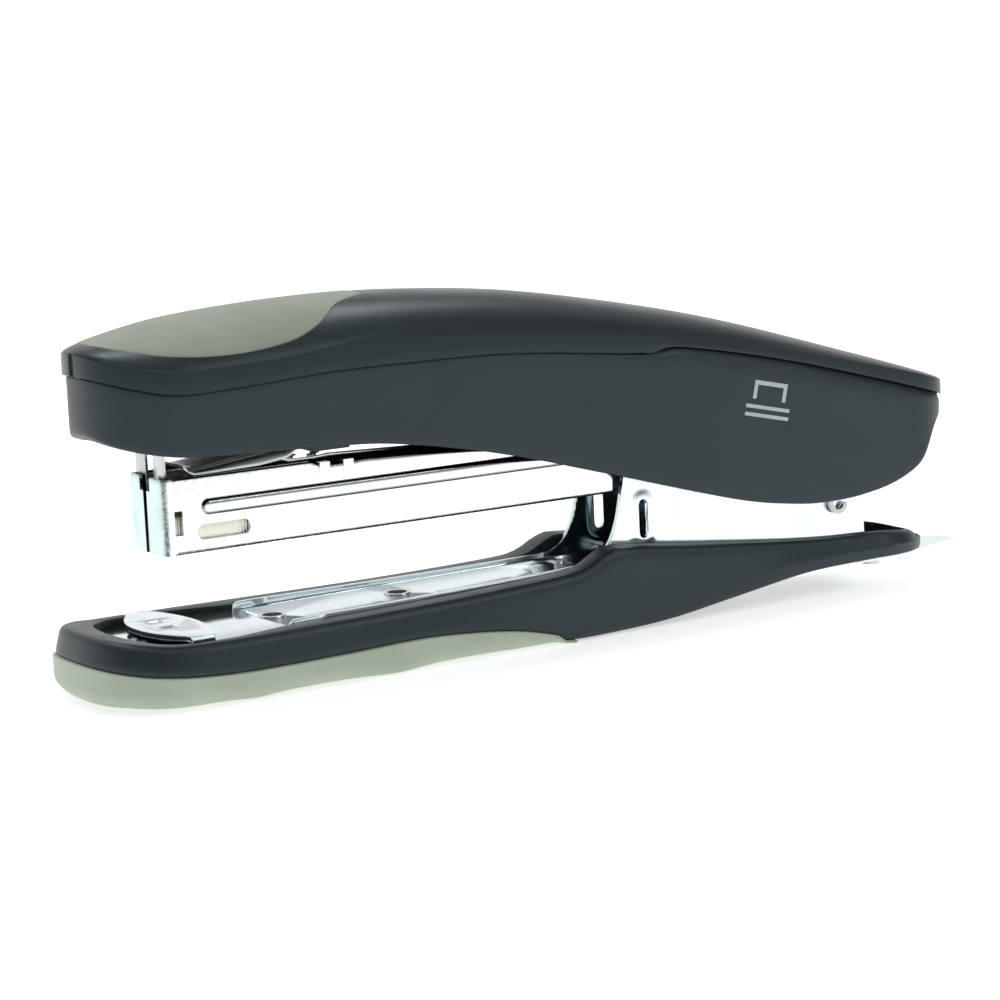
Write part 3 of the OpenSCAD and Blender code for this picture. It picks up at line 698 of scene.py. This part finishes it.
def sole():
    o = inset(BASE, -0.7)
    end = 97.2

    def sole_ring(g_of, z_of):
        x = stations(o, BASE_STEPS[0], 90, 2)
        x = np.append(x[x < end], end)
        g, z = g_of(x), z_of(x)
        nose = np.clip((x - o[0]) / 3.0, 0, 1)
        xs = x + g * (1 - ease(o[0], o[0] + 20, x))
        w = np.maximum(half_w(o, x) - g * (0.35 + 0.65 * nose), 0) * np.where(x > o[0] + 1e-6, 1, 0)
        near = [(a, -b, c) for a, b, c in zip(xs, w, z)]
        far = [(a, b, c) for a, b, c in zip(xs[:0:-1], w[:0:-1], z[:0:-1])]
        return near + far

    top = lambda x: np.maximum(under(x), 0.45)
    loops = [sole_ring(lambda x, g=g: x * 0 + g, lambda x, d=d: top(x) - d)
             for g, d in ((1.6, 0), (0.35, 0.02), (0.1, 0.15))]
    for a in np.linspace(0, math.pi / 2, 9):
        inward = lambda x, a=a: sole_edge(x) * (1 - math.cos(a))
        height = lambda x, a=a: np.maximum(np.minimum(4.4, top(x) - 0.4), 0.02) * (1 - math.sin(a))
        loops.append(sole_ring(inward, height))
    me = loops_mesh("base_pad_looks", loops)
    return cut(me, [prism("c", disc(x, 0, 4.5), "z", -1, 11) for x in RIVET_XS])


piece("base_shell_looks", shell(), "base", LOOKS["base"], ["base_shell"], 32)
piece("base_pad_looks", sole(), "base", LOOKS["sole"], ["base_pad"], 40)


# ---- sheet-metal parts
def sheet_grid(columns, thick):
    """A sheet from columns of points, made thick on its inner side."""
    n = len(columns[0])
    faces = [(i * n + j, (i + 1) * n + j, (i + 1) * n + j + 1, i * n + j + 1)
             for i in range(len(columns) - 1) for j in range(n - 1)]
    me = bpy.data.meshes.new("sheet")
    me.from_pydata([p for c in columns for p in c], [], faces)

    def build(o):
        m = o.modifiers.new("thick", "SOLIDIFY")
        m.thickness, m.offset, m.use_even_offset = thick, -1, True
    return apply_modifiers(me, build)


def mirrored(me):
    other = me.copy()
    other.transform(Matrix.Scale(-1, 4, (0, 1, 0)))
    other.flip_normals()
    return other


def cleaned(me, merge=0.0005):
    bm = bmesh.new()
    bm.from_mesh(me)
    bmesh.ops.remove_doubles(bm, verts=bm.verts, dist=merge)
    bmesh.ops.dissolve_degenerate(bm, edges=bm.edges, dist=merge)
    bmesh.ops.recalc_face_normals(bm, faces=bm.faces)
    bm.to_mesh(me)
    bm.free()
    return me


SEAM_W = 0.72                            # half width of the nose seam at its top
RIB_Z, RIB_X = MAG_Z + 8.8, 22.2


def magazine_side():
    """Near half of the folded channel: nose flap, corner, ribbed side and half of the floor."""
    r, half = 1.5, MAG_W / 2
    path = [(MAG_X, -0.22 - (half - r - 0.22) * t, (-1, 0)) for t in np.linspace(0, 1, 6)]
    path += [(MAG_X + r - r * math.cos(a), -(half - r) - r * math.sin(a), (-math.cos(a), -math.sin(a)))
             for a in np.linspace(0, math.pi / 2, 8)[1:]]
    xs = np.concatenate([[14.7, 15.4, 15.6, 16.6, 17.8, 19], np.linspace(19.6, 25, 22),
                         np.linspace(26.5, 113, 60)])
    path += [(float(x), -half, (0, -1)) for x in xs]
    dip = lambda x: float(np.interp(x, [45, 46, 54, 55, 80, 113], [0, -1.4, -1.4, -1.1, -2, -4]))
    bend = np.linspace(0, math.pi / 2, 6)
    rib_top = 37.7
    wall_z = np.concatenate([[29.5, 31, 32.5, 33.8], np.linspace(34.3, rib_top, 27)])
    columns = []
    for x, y, n in path:
        col = []
        side = x > 15.5
        for f in (0.0, 0.5):
            col.append((x, y * f, MAG_Z) if side else (x, y, MAG_Z + 0.15 + 0.1 * f))
        for a in bend:
            if side:
                col.append((x, y + 1.0 - math.sin(a), MAG_Z + 1.0 - math.cos(a)))
            else:
                col.append((x, y, MAG_Z + 0.25 + 0.75 * a / (math.pi / 2)))
        for z in wall_z:
            d = math.hypot(min(x - RIB_X, 0), z - RIB_Z)
            out = 0.5 * math.sqrt(max(0.0, 1 - (d / 1.5) ** 2)) ** 1.3 if side else 0.0
            col.append((x + n[0] * out, y + n[1] * out, float(z)))
        rise = MAG_Z + MAG_H + dip(x) - rib_top
        col += [(x, y, rib_top + rise * f) for f in (0.25, 0.5, 0.75, 1.0)]
        columns.append(col)
    return sheet_grid(columns, MAG_T)


def magazine():
    near = magazine_side()
    me = cleaned(boolean(near, [mirrored(near)], "UNION"))
    cutters = [
        prism("c", rect(MAG_X + 2.4, MAG_X + 4.1, MAG_Z + 3.9, MAG_Z + 8.6), "y", -20, 20),
        prism("c", stadium(21, 29.4, MAG_Z + 4.1, 1.45), "y", -20, 20),
        prism("c", rect(-2.2, 2.2, MAG_Z + MAG_H - 2.6, MAG_Z + MAG_H + 2), "x", MAG_X - 2, MAG_X + 1.3),
        prism("c", [(-0.35, MAG_Z - 1), (0.35, MAG_Z - 1), (SEAM_W, MAG_Z + 15), (-SEAM_W, MAG_Z + 15)], "x",
              MAG_X - 2, MAG_X + 1.3),
    ]
    return bevelled(cut(me, cutters), 0.12, 2, 50)


def channel_nickel():
    """Bright nickel with painted shade on front, bends and rib; dark speckled front corner; dark cut seam."""
    s = Shade("channel_nickel", (0.9, 0.93, 0.94), 1, 0.1)
    split = s.t.nodes.new("ShaderNodeSeparateXYZ")
    s.link(s.coord, split.inputs[0])
    x, y, z = (split.outputs[axis] for axis in "XYZ")
    at = lambda mm: TIP_X + mm / 1000
    along = lambda lo, hi, a=0, b=1: s.to_range(x, a, b, at(lo), at(hi))
    upward = lambda lo, hi, a=0, b=1: s.to_range(z, a, b, lo / 1000, hi / 1000)
    speck = s.to_range(s.noise(1500, 3, 0.7), 0, 1, 0.35, 0.6)
    plain_tone = s.tint(s.to_range(s.noise(90, 4, 0.6), 0, 1), (0.86, 0.9, 0.91), (0.95, 0.97, 0.97))
    # painted shade: the front flap gets a darker, greener nickel than the sides
    front = s.tint(s.to_range(s.noise(200, 3), 0, 1), (0.5, 0.62, 0.6), (0.6, 0.72, 0.7))
    tone = s.tint(along(12.95, 13.5), front, plain_tone)
    # a dark speckled band round the front corner
    corner = s.times(along(12.6, 13.0), along(13.35, 13.95, 1, 0), s.to_range(speck, 0.55, 1, 0, 1))
    tone = s.tint(corner, tone, (0.09, 0.11, 0.12))
    # a patch of wear above the rib, then painted shadow round the rib and painted shade along the bend and
    # along the top
    side = along(14.5, 15)
    wear_and_highlight = s.times(upward(RIB_Z + 1.6, RIB_Z + 3.4, 0, 0.55), along(24, 50, 1, 0.25),
                   s.to_range(speck, 0, 1, 0.45, 0.9), side)
    tone = s.tint(wear_and_highlight, tone, (0.42, 0.44, 0.45))
    # painted shadow: a near-black line round the rib, stronger on its upper side
    from_rib = s.t.nodes.new("ShaderNodeCombineXYZ")
    s.link(s.calc("MINIMUM", along(RIB_X - 10, RIB_X + 10, -10, 10), 0), from_rib.inputs[0])
    s.link(upward(RIB_Z - 10, RIB_Z + 10, -10, 10), from_rib.inputs[2])
    away = s.t.nodes.new("ShaderNodeVectorMath")
    away.operation = "LENGTH"
    s.link(from_rib.outputs[0], away.inputs[0])
    far = away.outputs["Value"]
    rib_painted_shadow = s.times(s.to_range(far, 0, 1, 0.9, 1.02), s.to_range(far, 1, 0, 1.5, 1.7),
                       upward(RIB_Z - 0.6, RIB_Z + 0.6, 0.55, 1))
    # painted shade: dark lines along the bottom bend and along the top edge, tinted near-black below
    bend_painted_shade = s.times(upward(MAG_Z + 0.25, MAG_Z + 1, 1, 0), s.to_range(speck, 0.35, 1, 0, 1), side)
    top_painted_shade = s.times(upward(MAG_Z + MAG_H - 0.42, MAG_Z + MAG_H - 0.3), side)
    for mask in (rib_painted_shadow, bend_painted_shade, top_painted_shade):
        tone = s.tint(mask, tone, (0.015, 0.018, 0.022))
    # the cut seam's faces are tinted dark: partly the bare cut edge, partly painted shade in the slit
    seam_dark = s.to_range(s.calc("ABSOLUTE", y), 1, 0, 0.00078, 0.0008)
    s.color(s.tint(seam_dark, tone, (0.02, 0.02, 0.025)))
    s.rough(s.to_range(s.noise(260, 5, 0.75, (1, 14, 14)), 0.07, 0.14))
    s.bump([(s.noise(130, 2), 0.0002, 0.07), (s.noise(900, 3, 0.7, (1, 14, 14)), 0.00002, 0.15)])
    return s.mat


piece("magazine_cover_looks", magazine(), "magazine", channel_nickel(), ["magazine_cover"], 40)


def staples():
    """The glued strip: a ridge for every wire."""
    (x0, _, z0), (x1, _, z1) = box_mm("staple_strip")
    pitch = 0.58
    n = int((x1 - x0) / pitch)
    half, r, t = 6.33, 0.55, 0.52
    outline = [(-half, z0), (-half, z1 - r), (-half + 0.16, z1 - 0.16), (-half + r, z1),
               (half - r, z1), (half - 0.16, z1 - 0.16), (half, z1 - r), (half, z0)]
    inner = [(half - t, z0), (half - t, z1 - t), (-half + t, z1 - t), (-half + t, z0)]
    verts, xs = [], []
    for i in range(n):
        for f, d in ((0.02, 0.08), (0.2, 0.01), (0.5, 0.0), (0.8, 0.01), (0.98, 0.08)):
            xs.append((x0 + (i + f) * (x1 - x0) / n, d))
    for x, d in xs:
        for k, (y, z) in enumerate(outline + inner):
            if k < len(outline):
                y, z = y * (1 - d / half), (z if z == z0 else z - d)
            verts.append((x, y, z))
    size = len(xs), len(outline + inner)
    return to_mesh("staple_strip_looks", verts, tube_faces(*size) + end_faces(*size), 1e-4)


piece("staple_strip_looks", staples(), "magazine", LOOKS["wire"], ["staple_strip"], 60)


def coil(x0, x1, z, radius, wire, turns, closed_turns=2):
    """Helix along x with closed ends."""
    steps, sides = 22, 8
    total = turns + 2 * closed_turns
    closed = closed_turns * wire * 1.02
    body = (x1 - x0) - 2 * closed - wire
    count = int(total * steps) + 1
    verts = []
    for i in range(count):
        t = i / steps
        if t < closed_turns:
            x = closed * t / closed_turns
        elif t > total - closed_turns:
            x = closed + body + closed * (t - total + closed_turns) / closed_turns
        else:
            x = closed + body * (t - closed_turns) / turns
        a = 2 * math.pi * t
        for k in range(sides):
            b = 2 * math.pi * k / sides
            out = radius + wire / 2 * math.cos(b)
            verts.append((x0 + x + wire / 2 * (1 + math.sin(b)), out * math.cos(a), z + out * math.sin(a)))
    return to_mesh("coil", verts, tube_faces(count, sides) + end_faces(count, sides), 1e-5)


(sx0, _, low), (sx1, _, high) = box_mm("pusher_spring")
spring_z = (low + high) / 2
spring = piece("pusher_spring_looks", coil(sx0, sx1, spring_z, 1.85, 0.42, 44), "magazine",
               LOOKS["spring"], ["pusher_spring"], 60)
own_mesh(spring)


# ---- steel base frame
SLOT_X, SLOT_Z0, SLOT_Z1, SLOT_R = 119.2, 18.4, 24.4, 1.1
HINGE_X, HINGE_Z = 165.0, sum(corner[2] for corner in box_mm("hinge_pin")) / 2


def frame_wall():
    """Near wall of the frame: tapering low wall, then the hinge bracket with a dish round its slot."""
    xs = np.concatenate([np.linspace(35, 100, 30), np.linspace(102, 112, 14), np.linspace(112.6, 127, 34),
                         np.linspace(129, 175.5, 16)])
    zs = np.concatenate([np.linspace(9, 14, 5), np.linspace(14.6, 28.4, 32), np.linspace(30, 43, 6)])
    wall = line([(20, 13.75), (35, 12.9), (70, 10.93), (100, 9.2), (108, 8.84), (116, 8.8), (140, 8.8),
                 (180, 8.8)])
    columns = []
    for x in xs:
        col = []
        for z in zs:
            dz = max(SLOT_Z0 - z, z - SLOT_Z1, 0)
            d = math.hypot(x - SLOT_X, dz)
            out = 0.33 * float(1 - ease(1.3, 3.6, d))
            col.append((float(x), -float(wall(x)) - out, float(z)))
        columns.append(col)
    return sheet_grid(columns, 1.0)


def base_frame():
    top = smooth([(35.2, 11.2), (36.2, 12.3), (39, 12.7), (60, 12.9), (90, 13.4), (104, 13.9), (108, 14.8),
                  (111, 17.4), (113, 22), (114.4, 28), (115.6, 32.6), (118, 35.4), (124, 37), (150, 38.6),
                  (160, 40.8), (165, 41.5), (170, 40.5), (173.6, 37.4), (174.6, 34)], 6)
    profile = [tuple(p) for p in top] + [(174.9, 9.4), (121, 12.1), (112, 12.6), (35.2, 10.7)]
    near = boolean(frame_wall(), [prism("c", profile, "y", -20, 0)], "INTERSECT")
    far = mirrored(near)
    nose_x = np.concatenate([2.75 + 12.8 * (1 - np.cos(np.linspace(0, math.pi / 2, 18))),
                             np.linspace(17, 34, 6)])
    nose_w = half_w((2.7, 12.9, 2.4, 32.6, 22, 25.6, 13.9, 49.8), nose_x)
    main_x = np.array([35, 37, 60, 90, 108, 112, 121, 140, 160, 175.4])
    main_w = np.interp(main_x, [35, 108, 175.5], [12.85, 8.8, 8.8])
    fx, fw = np.concatenate([nose_x, main_x]), np.concatenate([nose_w, main_w])
    fw[0] = 0
    edge = [(x, -w) for x, w in zip(fx, fw)] + [(x, w) for x, w in zip(fx[:0:-1], fw[:0:-1])]
    n = len(edge)
    verts = [(x, y, float(floor_top(x)) - drop) for drop in (0, 1.0) for x, y in edge]
    faces = tube_faces(2, n)
    for q in ladder(0, n):
        faces += [q, tuple(n + k for k in q[::-1])]
    me = to_mesh("floor_plate", verts, faces, 1e-4)
    for wall in (near, far):
        me = boolean(me, [wall], "UNION")
    turn = [(-1, 0), (-0.7, 0.7), (0, 1), (0.7, 0.7), (1, 0)]
    slot = [(SLOT_X + SLOT_R * a, SLOT_Z0 - SLOT_R * b) for a, b in turn]
    slot += [(SLOT_X + SLOT_R * a, SLOT_Z1 + SLOT_R * b) for a, b in turn[::-1]]
    cutters = [prism("c", slot, "y", -20, 20), prism("c", disc(HINGE_X, HINGE_Z, 2.0), "y", -20, 20)]
    cutters += [prism("c", disc(x, 0, 2.7), "z", 5, 16) for x in RIVET_XS]
    cutters += [prism("c", disc(x, 0, 1.2), "z", 5, 16) for x in SCREW_XS]
    return bevelled(cut(cleaned(me), cutters), 0.16, 2, 40)


piece("base_frame_looks", base_frame(), "base", LOOKS["nickel"], ["base_frame"], 40)


# ---- lift spring: a bent strip that gives way as the channel goes down
def lift_spring():
    mid = smooth([(122, 13.1), (134, 12.6), (144.4, 12.1), (146.6, 12.6), (145.6, 13.9), (141, 16.9),
                  (133, 22.2), (127.2, 26), (125, 27.1), (123.5, 26.7)], 6)
    thick, half, edge = 0.6, 4.0, 0.14
    step = np.gradient(mid, axis=0)
    normal = np.stack([-step[:, 1], step[:, 0]], 1) / np.linalg.norm(step, axis=1)[:, None]
    loops = []
    for (x, z), (nx, nz) in zip(mid, normal):
        loop = []
        for y, h in ((-half, -1), (-half + edge, -1), (half - edge, -1), (half, -1),
                     (half, 1), (half - edge, 1), (-half + edge, 1), (-half, 1)):
            k = thick / 2 * h * (1 if abs(y) < half else 0.55)
            loop.append((x + nx * k, y, z + nz * k))
        loops.append(loop)
    size = len(loops), len(loops[0])
    verts = [p for l in loops for p in l]
    return to_mesh("lift_spring_looks", verts, tube_faces(*size) + end_faces(*size), 1e-4)


spring_leaf = piece("lift_spring_looks", lift_spring(), "base", LOOKS["spring"],
                    ["lift_spring"], 50)
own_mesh(spring_leaf)


# ---- return leaf: a wide sheet that bows down at its sides and narrows into its holder
def return_leaf():
    top = line([(18, 44.3), (18.6, 43.8), (19.6, 43.55), (22, 43.6), (34, 45.1), (46.4, 46.5), (53.9, 47.05)])
    half = lambda x: float(np.interp(x, [18, 19, 41, 46, 53.9], [5.4, 6.3, 6.3, 4.45, 4.45]))
    drop = lambda x: float(np.interp(x, [18, 20, 34, 40, 46], [0, 0.9, 2.3, 2.3, 0]))
    xs = np.concatenate([np.linspace(18, 22, 12), np.linspace(23, 53.9, 40)])
    share = np.sin(np.linspace(-math.pi / 2, math.pi / 2, 41))
    verts = []
    for x in xs:
        for side, u in [(0, u) for u in share] + [(1, u) for u in share[::-1]]:
            verts.append((x, half(x) * u, float(top(x)) - drop(x) * abs(u) ** 16 - 0.45 * side))
    m = 2 * len(share)
    faces = tube_faces(len(xs), m)
    for a in (0, (len(xs) - 1) * m):
        faces += [(a + j, a + j + 1, a + m - 2 - j, a + m - 1 - j) for j in range(len(share) - 1)]
    me = to_mesh("return_leaf_looks", verts, faces, 1e-4)
    return cut(me, [prism("c", disc(50.4, 0, 1.25), "z", 40, 50)])


piece("return_leaf_looks", return_leaf(), "handle", LOOKS["spring"], ["return_leaf"], 50)


# ---- driver: a forked blade on a black block
BLADE_X, BLADE_T = MAG_X + 1.25, 0.6
DRIVER_RIVET_YS, DRIVER_RIVET_Z, DRIVER_HOLE_R = (-3.6, 3.6), 56, 1.02


def driver_holes(x0, x1):
    return [prism("c", disc(y, DRIVER_RIVET_Z, DRIVER_HOLE_R), "x", x0, x1) for y in DRIVER_RIVET_YS]


def driver():
    foot, head, half, gap = 35.35, 59.9, 6.1, 1.75
    arch = [(gap * math.cos(a), 49.5 + gap * math.sin(a)) for a in np.linspace(0, math.pi, 13)]
    outline = [(half, foot + 0.5), (half - 0.3, foot), (gap + 0.3, foot), (gap, foot + 0.4)] + arch
    outline += [(-gap, foot + 0.4), (-gap - 0.3, foot), (0.3 - half, foot), (-half, foot + 0.5),
                (-half, head - 0.6), (0.6 - half, head), (half - 0.6, head), (half, head - 0.6)]
    me = prism("driver_blade_looks", outline, "x", BLADE_X, BLADE_X + BLADE_T)
    return bevelled(cut(me, driver_holes(BLADE_X - 1, BLADE_X + 2)), 0.08, 2, 40)


def block():
    x0, x1 = BLADE_X + BLADE_T, BLADE_X + 4
    outline = [(x0, 51.4), (x0 + 1.2, 50.4), (x1 - 0.8, 50.4), (x1, 51.2), (x1, 60.1), (x0, 60.1)]
    me = prism("driver_block_looks", outline, "y", -6.1, 6.1)
    cuts = [prism("c", rect(x1 - 0.7, x1 + 1, z, z + 1.1), "y", -4.6, 4.6) for z in (52.6, 54.8, 57)]
    return bevelled(cut(me, cuts + driver_holes(x0 - 1, x0 + 2.6)), 0.15, 2, 40)


# the blade's slot in the record is nickel, but it is seen in the handle's shade, where it reads as steel
piece("driver_blade_looks", driver(), "handle", LOOKS["steel"], ["driver_blade"], 40)
piece("driver_block_looks", block(), "handle", LOOKS["nylon"], ["driver_block"], 40)


# ---- anvil: a raised plate with a curved front, bent side flanges and two pressed pits
def anvil():
    half, top, front_half = 15.5, 13.0, 13.6
    ys = np.linspace(-front_half, front_half, 25)
    outline = [(8.6 + 4.4 * (abs(y) / front_half) ** 2.2, y) for y in ys]
    outline += [(13.2, half - 0.4), (13.7, half), (17.9, half), (18.4, half - 0.4)]
    outline += [(21.5 - 2.6 * (y / front_half) ** 2, y) for y in ys[::-1]]
    outline += [(18.4, 0.4 - half), (17.9, -half), (13.7, -half), (13.2, 0.4 - half)]
    me = prism("anvil_looks", outline, "z", top - 1, top)
    pits = []
    for sign in (-1, 1):
        y0, y1 = sorted((sign * (half - 1), sign * half))
        me = boolean(me, [prism("c", rect(13.4, 18.2, y0, y1), "z", 11.1, top - 0.5)], "UNION")
        pit = [(sign * (3.4 + 2.9 * math.sin(a)), top + 2.4 - 2.9 * math.cos(a))
               for a in np.linspace(-1.1, 1.1, 15)]
        pits.append(prism("c", pit + [(sign * 3.4, top + 3)], "x", 12.4, 15.6))
    return bevelled(cut(cleaned(me), pits), 0.25, 3, 40)


piece("anvil_looks", anvil(), "base", LOOKS["nickel"], ["anvil_plate"], 40)


# ---- generic mark on the near side: a staple over two sheets
def side_y(x, z):
    """Outer face of the housing on the near side."""
    top = float(seam(x)) + 0.85
    f = (top - z) / max(top - float(lower(x)) - 1, 1)
    return -float(half_w(HOUSING, x) + 0.85 * ease(104, 134, x) * (1 - 0.25 * min(max(f, 0), 1)))


def printed(name, strokes, thick=0.05):
    meshes = []
    for (xa, za), (xb, zb), w in strokes:
        d = Vector((xb - xa, zb - za)).normalized()
        across = Vector((-d.y, d.x)) * w / 2
        length = math.hypot(xb - xa, zb - za)
        n = max(2, int(length / 0.6))
        verts, faces = [], []
        for i in range(n + 1):
            t = i / n
            cx, cz = xa + (xb - xa) * t, za + (zb - za) * t
            for side in (1, -1):
                x, z = cx + across.x * side, cz + across.y * side
                y = side_y(x, z)
                verts += [(x, y - thick, z), (x, y + 0.15, z)]
        for i in range(n):
            a, b = 4 * i, 4 * (i + 1)
            faces += [(a, a + 2, b + 2, b), (a + 1, b + 1, b + 3, a + 3),
                      (a, b, b + 1, a + 1), (a + 2, a + 3, b + 3, b + 2)]
        faces += [(0, 1, 3, 2), (4 * n, 4 * n + 2, 4 * n + 3, 4 * n + 1)]
        meshes.append(to_mesh(name, verts, faces, 1e-5))
    return join(name, meshes)


def mark():
    cx, cz, tilt = 148.0, 43.9, math.radians(-13)
    c, s = math.cos(tilt), math.sin(tilt)
    turn = lambda x, z: (cx + x * c - z * s, cz + x * s + z * c)
    rows = [((-4.2, 2.6), (4.2, 2.6), 0.9), ((-3.75, 2.2), (-3.75, -0.8), 0.9),
            ((3.75, 2.2), (3.75, -0.8), 0.9), ((-5.6, -2.4), (5.6, -2.4), 0.75),
            ((-5.6, -4.1), (5.6, -4.1), 0.75)]
    return printed("side_mark", [(turn(*a), turn(*b), w) for a, b, w in rows])


piece("side_mark", mark(), "handle", LOOKS["print"], angle=30)

# ---- carried-over metal parts
CAD_LOOKS = {
    "nickel": ["remover_blade", "channel_clip"],
    "steel": ["staple_rail", "guide_rod", "rod_anchor", "pusher", "handle_frame"],
    "spring": ["hinge_spring"],
    "zinc": ["base_rivets", "base_screws", "remover_screws", "hinge_pin", "magazine_rivets", "driver_rivets",
             "leaf_screw", "cap_screws"],
    "nylon": ["leaf_holder"],
}
for key, names in CAD_LOOKS.items():
    for n in names:
        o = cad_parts[n]
        o.data.materials.clear()
        o.data.materials.append(LOOKS[key])
        add_bevel(o, 0.00012, 2, 40)

# ---- stage, lights and camera
def studio_floor():
    """Pale floor with a little light of its own, so that it stays even."""
    color = (0.82, 0.825, 0.825)
    s = Shade("studio_floor", color, 0, 0.6, Emission_Color=(1, 1, 1, 1), Emission_Strength=0.55)
    s.color(s.tint(s.to_range(s.noise(3, 2), 0, 1), color, tuple(c * 0.985 for c in color)))
    return s.mat


floor = bpy.data.meshes.new("floor")
bm = bmesh.new()
bmesh.ops.create_circle(bm, cap_ends=True, radius=14, segments=96)
bm.to_mesh(floor)
bm.free()
floor.materials.append(studio_floor())
floor_o = bpy.data.objects.new("floor", floor)
floor_o.location.z = -0.0001
bpy.context.scene.collection.objects.link(floor_o)

world = bpy.data.worlds.new("studio")
bpy.context.scene.world = world
world.use_nodes = True
wt = world.node_tree
back = wt.nodes["Background"]
coord = wt.nodes.new("ShaderNodeTexCoord")
split = wt.nodes.new("ShaderNodeSeparateXYZ")
wt.links.new(coord.outputs["Generated"], split.inputs[0])


def world_range(socket, a, b):
    n = wt.nodes.new("ShaderNodeMapRange")
    n.inputs["From Min"].default_value, n.inputs["From Max"].default_value = a, b
    wt.links.new(split.outputs[socket], n.inputs["Value"])
    return n.outputs["Result"]


def sky(stops):
    """Tones by the sine of the elevation, from the horizon to the zenith."""
    ramp = wt.nodes.new("ShaderNodeValToRGB")
    wt.links.new(world_range("Z", 0, 1), ramp.inputs["Fac"])
    for e, (at, tone) in zip(ramp.color_ramp.elements, (stops[0], stops[-1])):
        e.position, e.color = at, (*tone, 1)
    for at, tone in stops[1:-1]:
        ramp.color_ramp.elements.new(at).color = (*tone, 1)
    return ramp.outputs["Color"]


in_front = sky([(0.06, (1, 1, 1)), (0.16, (0.2, 0.22, 0.23)), (0.55, (0.14, 0.15, 0.16)),
                (0.9, (0.95, 0.98, 1))])
behind = sky([(0.3, (1, 1, 1)), (0.6, (0.45, 0.48, 0.5)), (0.92, (0.95, 0.98, 1))])
blend = wt.nodes.new("ShaderNodeMix")
blend.data_type = "RGBA"
wt.links.new(world_range("Y", 0.0, 0.35), blend.inputs["Factor"])
wt.links.new(in_front, blend.inputs[6])
wt.links.new(behind, blend.inputs[7])
wt.links.new(blend.outputs[2], back.inputs["Color"])
back.inputs["Strength"].default_value = 1.0


def area(name, where, target, size, power):
    lamp = bpy.data.lights.new(name, "AREA")
    lamp.shape, lamp.size, lamp.size_y, lamp.energy = "RECTANGLE", size[0], size[1], power
    o = bpy.data.objects.new(name, lamp)
    o.location = where
    o.rotation_euler = (Vector(target) - Vector(where)).to_track_quat("-Z", "Y").to_euler()
    bpy.context.scene.collection.objects.link(o)


area("key_light", (0.5, -0.72, 0.6), (0, 0, 0.03), (0.5, 0.35), 1.7)
area("top_light", (0.1, 0.35, 0.95), (0, 0, 0.03), (0.9, 0.4), 4.5)

cam = bpy.data.cameras.new("camera")
cam.lens, cam.sensor_width = 126, 36
cam_o = bpy.data.objects.new("camera", cam)
bpy.context.scene.collection.objects.link(cam_o)
YAW, PITCH, ROLL = (math.radians(a) for a in (30.149, 9.402, 2.746))
CAMERA_AT = (TIP_X - 0.26046, -0.60471, 0.14354)
ahead = Vector((math.sin(YAW) * math.cos(PITCH), math.cos(YAW) * math.cos(PITCH), -math.sin(PITCH)))
right = Vector((math.cos(YAW), -math.sin(YAW), 0))
up = right.cross(ahead)
right, up = right * math.cos(ROLL) - up * math.sin(ROLL), right * math.sin(ROLL) + up * math.cos(ROLL)
cam_o.matrix_world = Matrix.Translation(CAMERA_AT) @ Matrix((
    (right.x, up.x, -ahead.x, 0), (right.y, up.y, -ahead.y, 0), (right.z, up.z, -ahead.z, 0), (0, 0, 0, 1)))
bpy.context.scene.camera = cam_o
bpy.context.scene.view_settings.view_transform = "Standard"
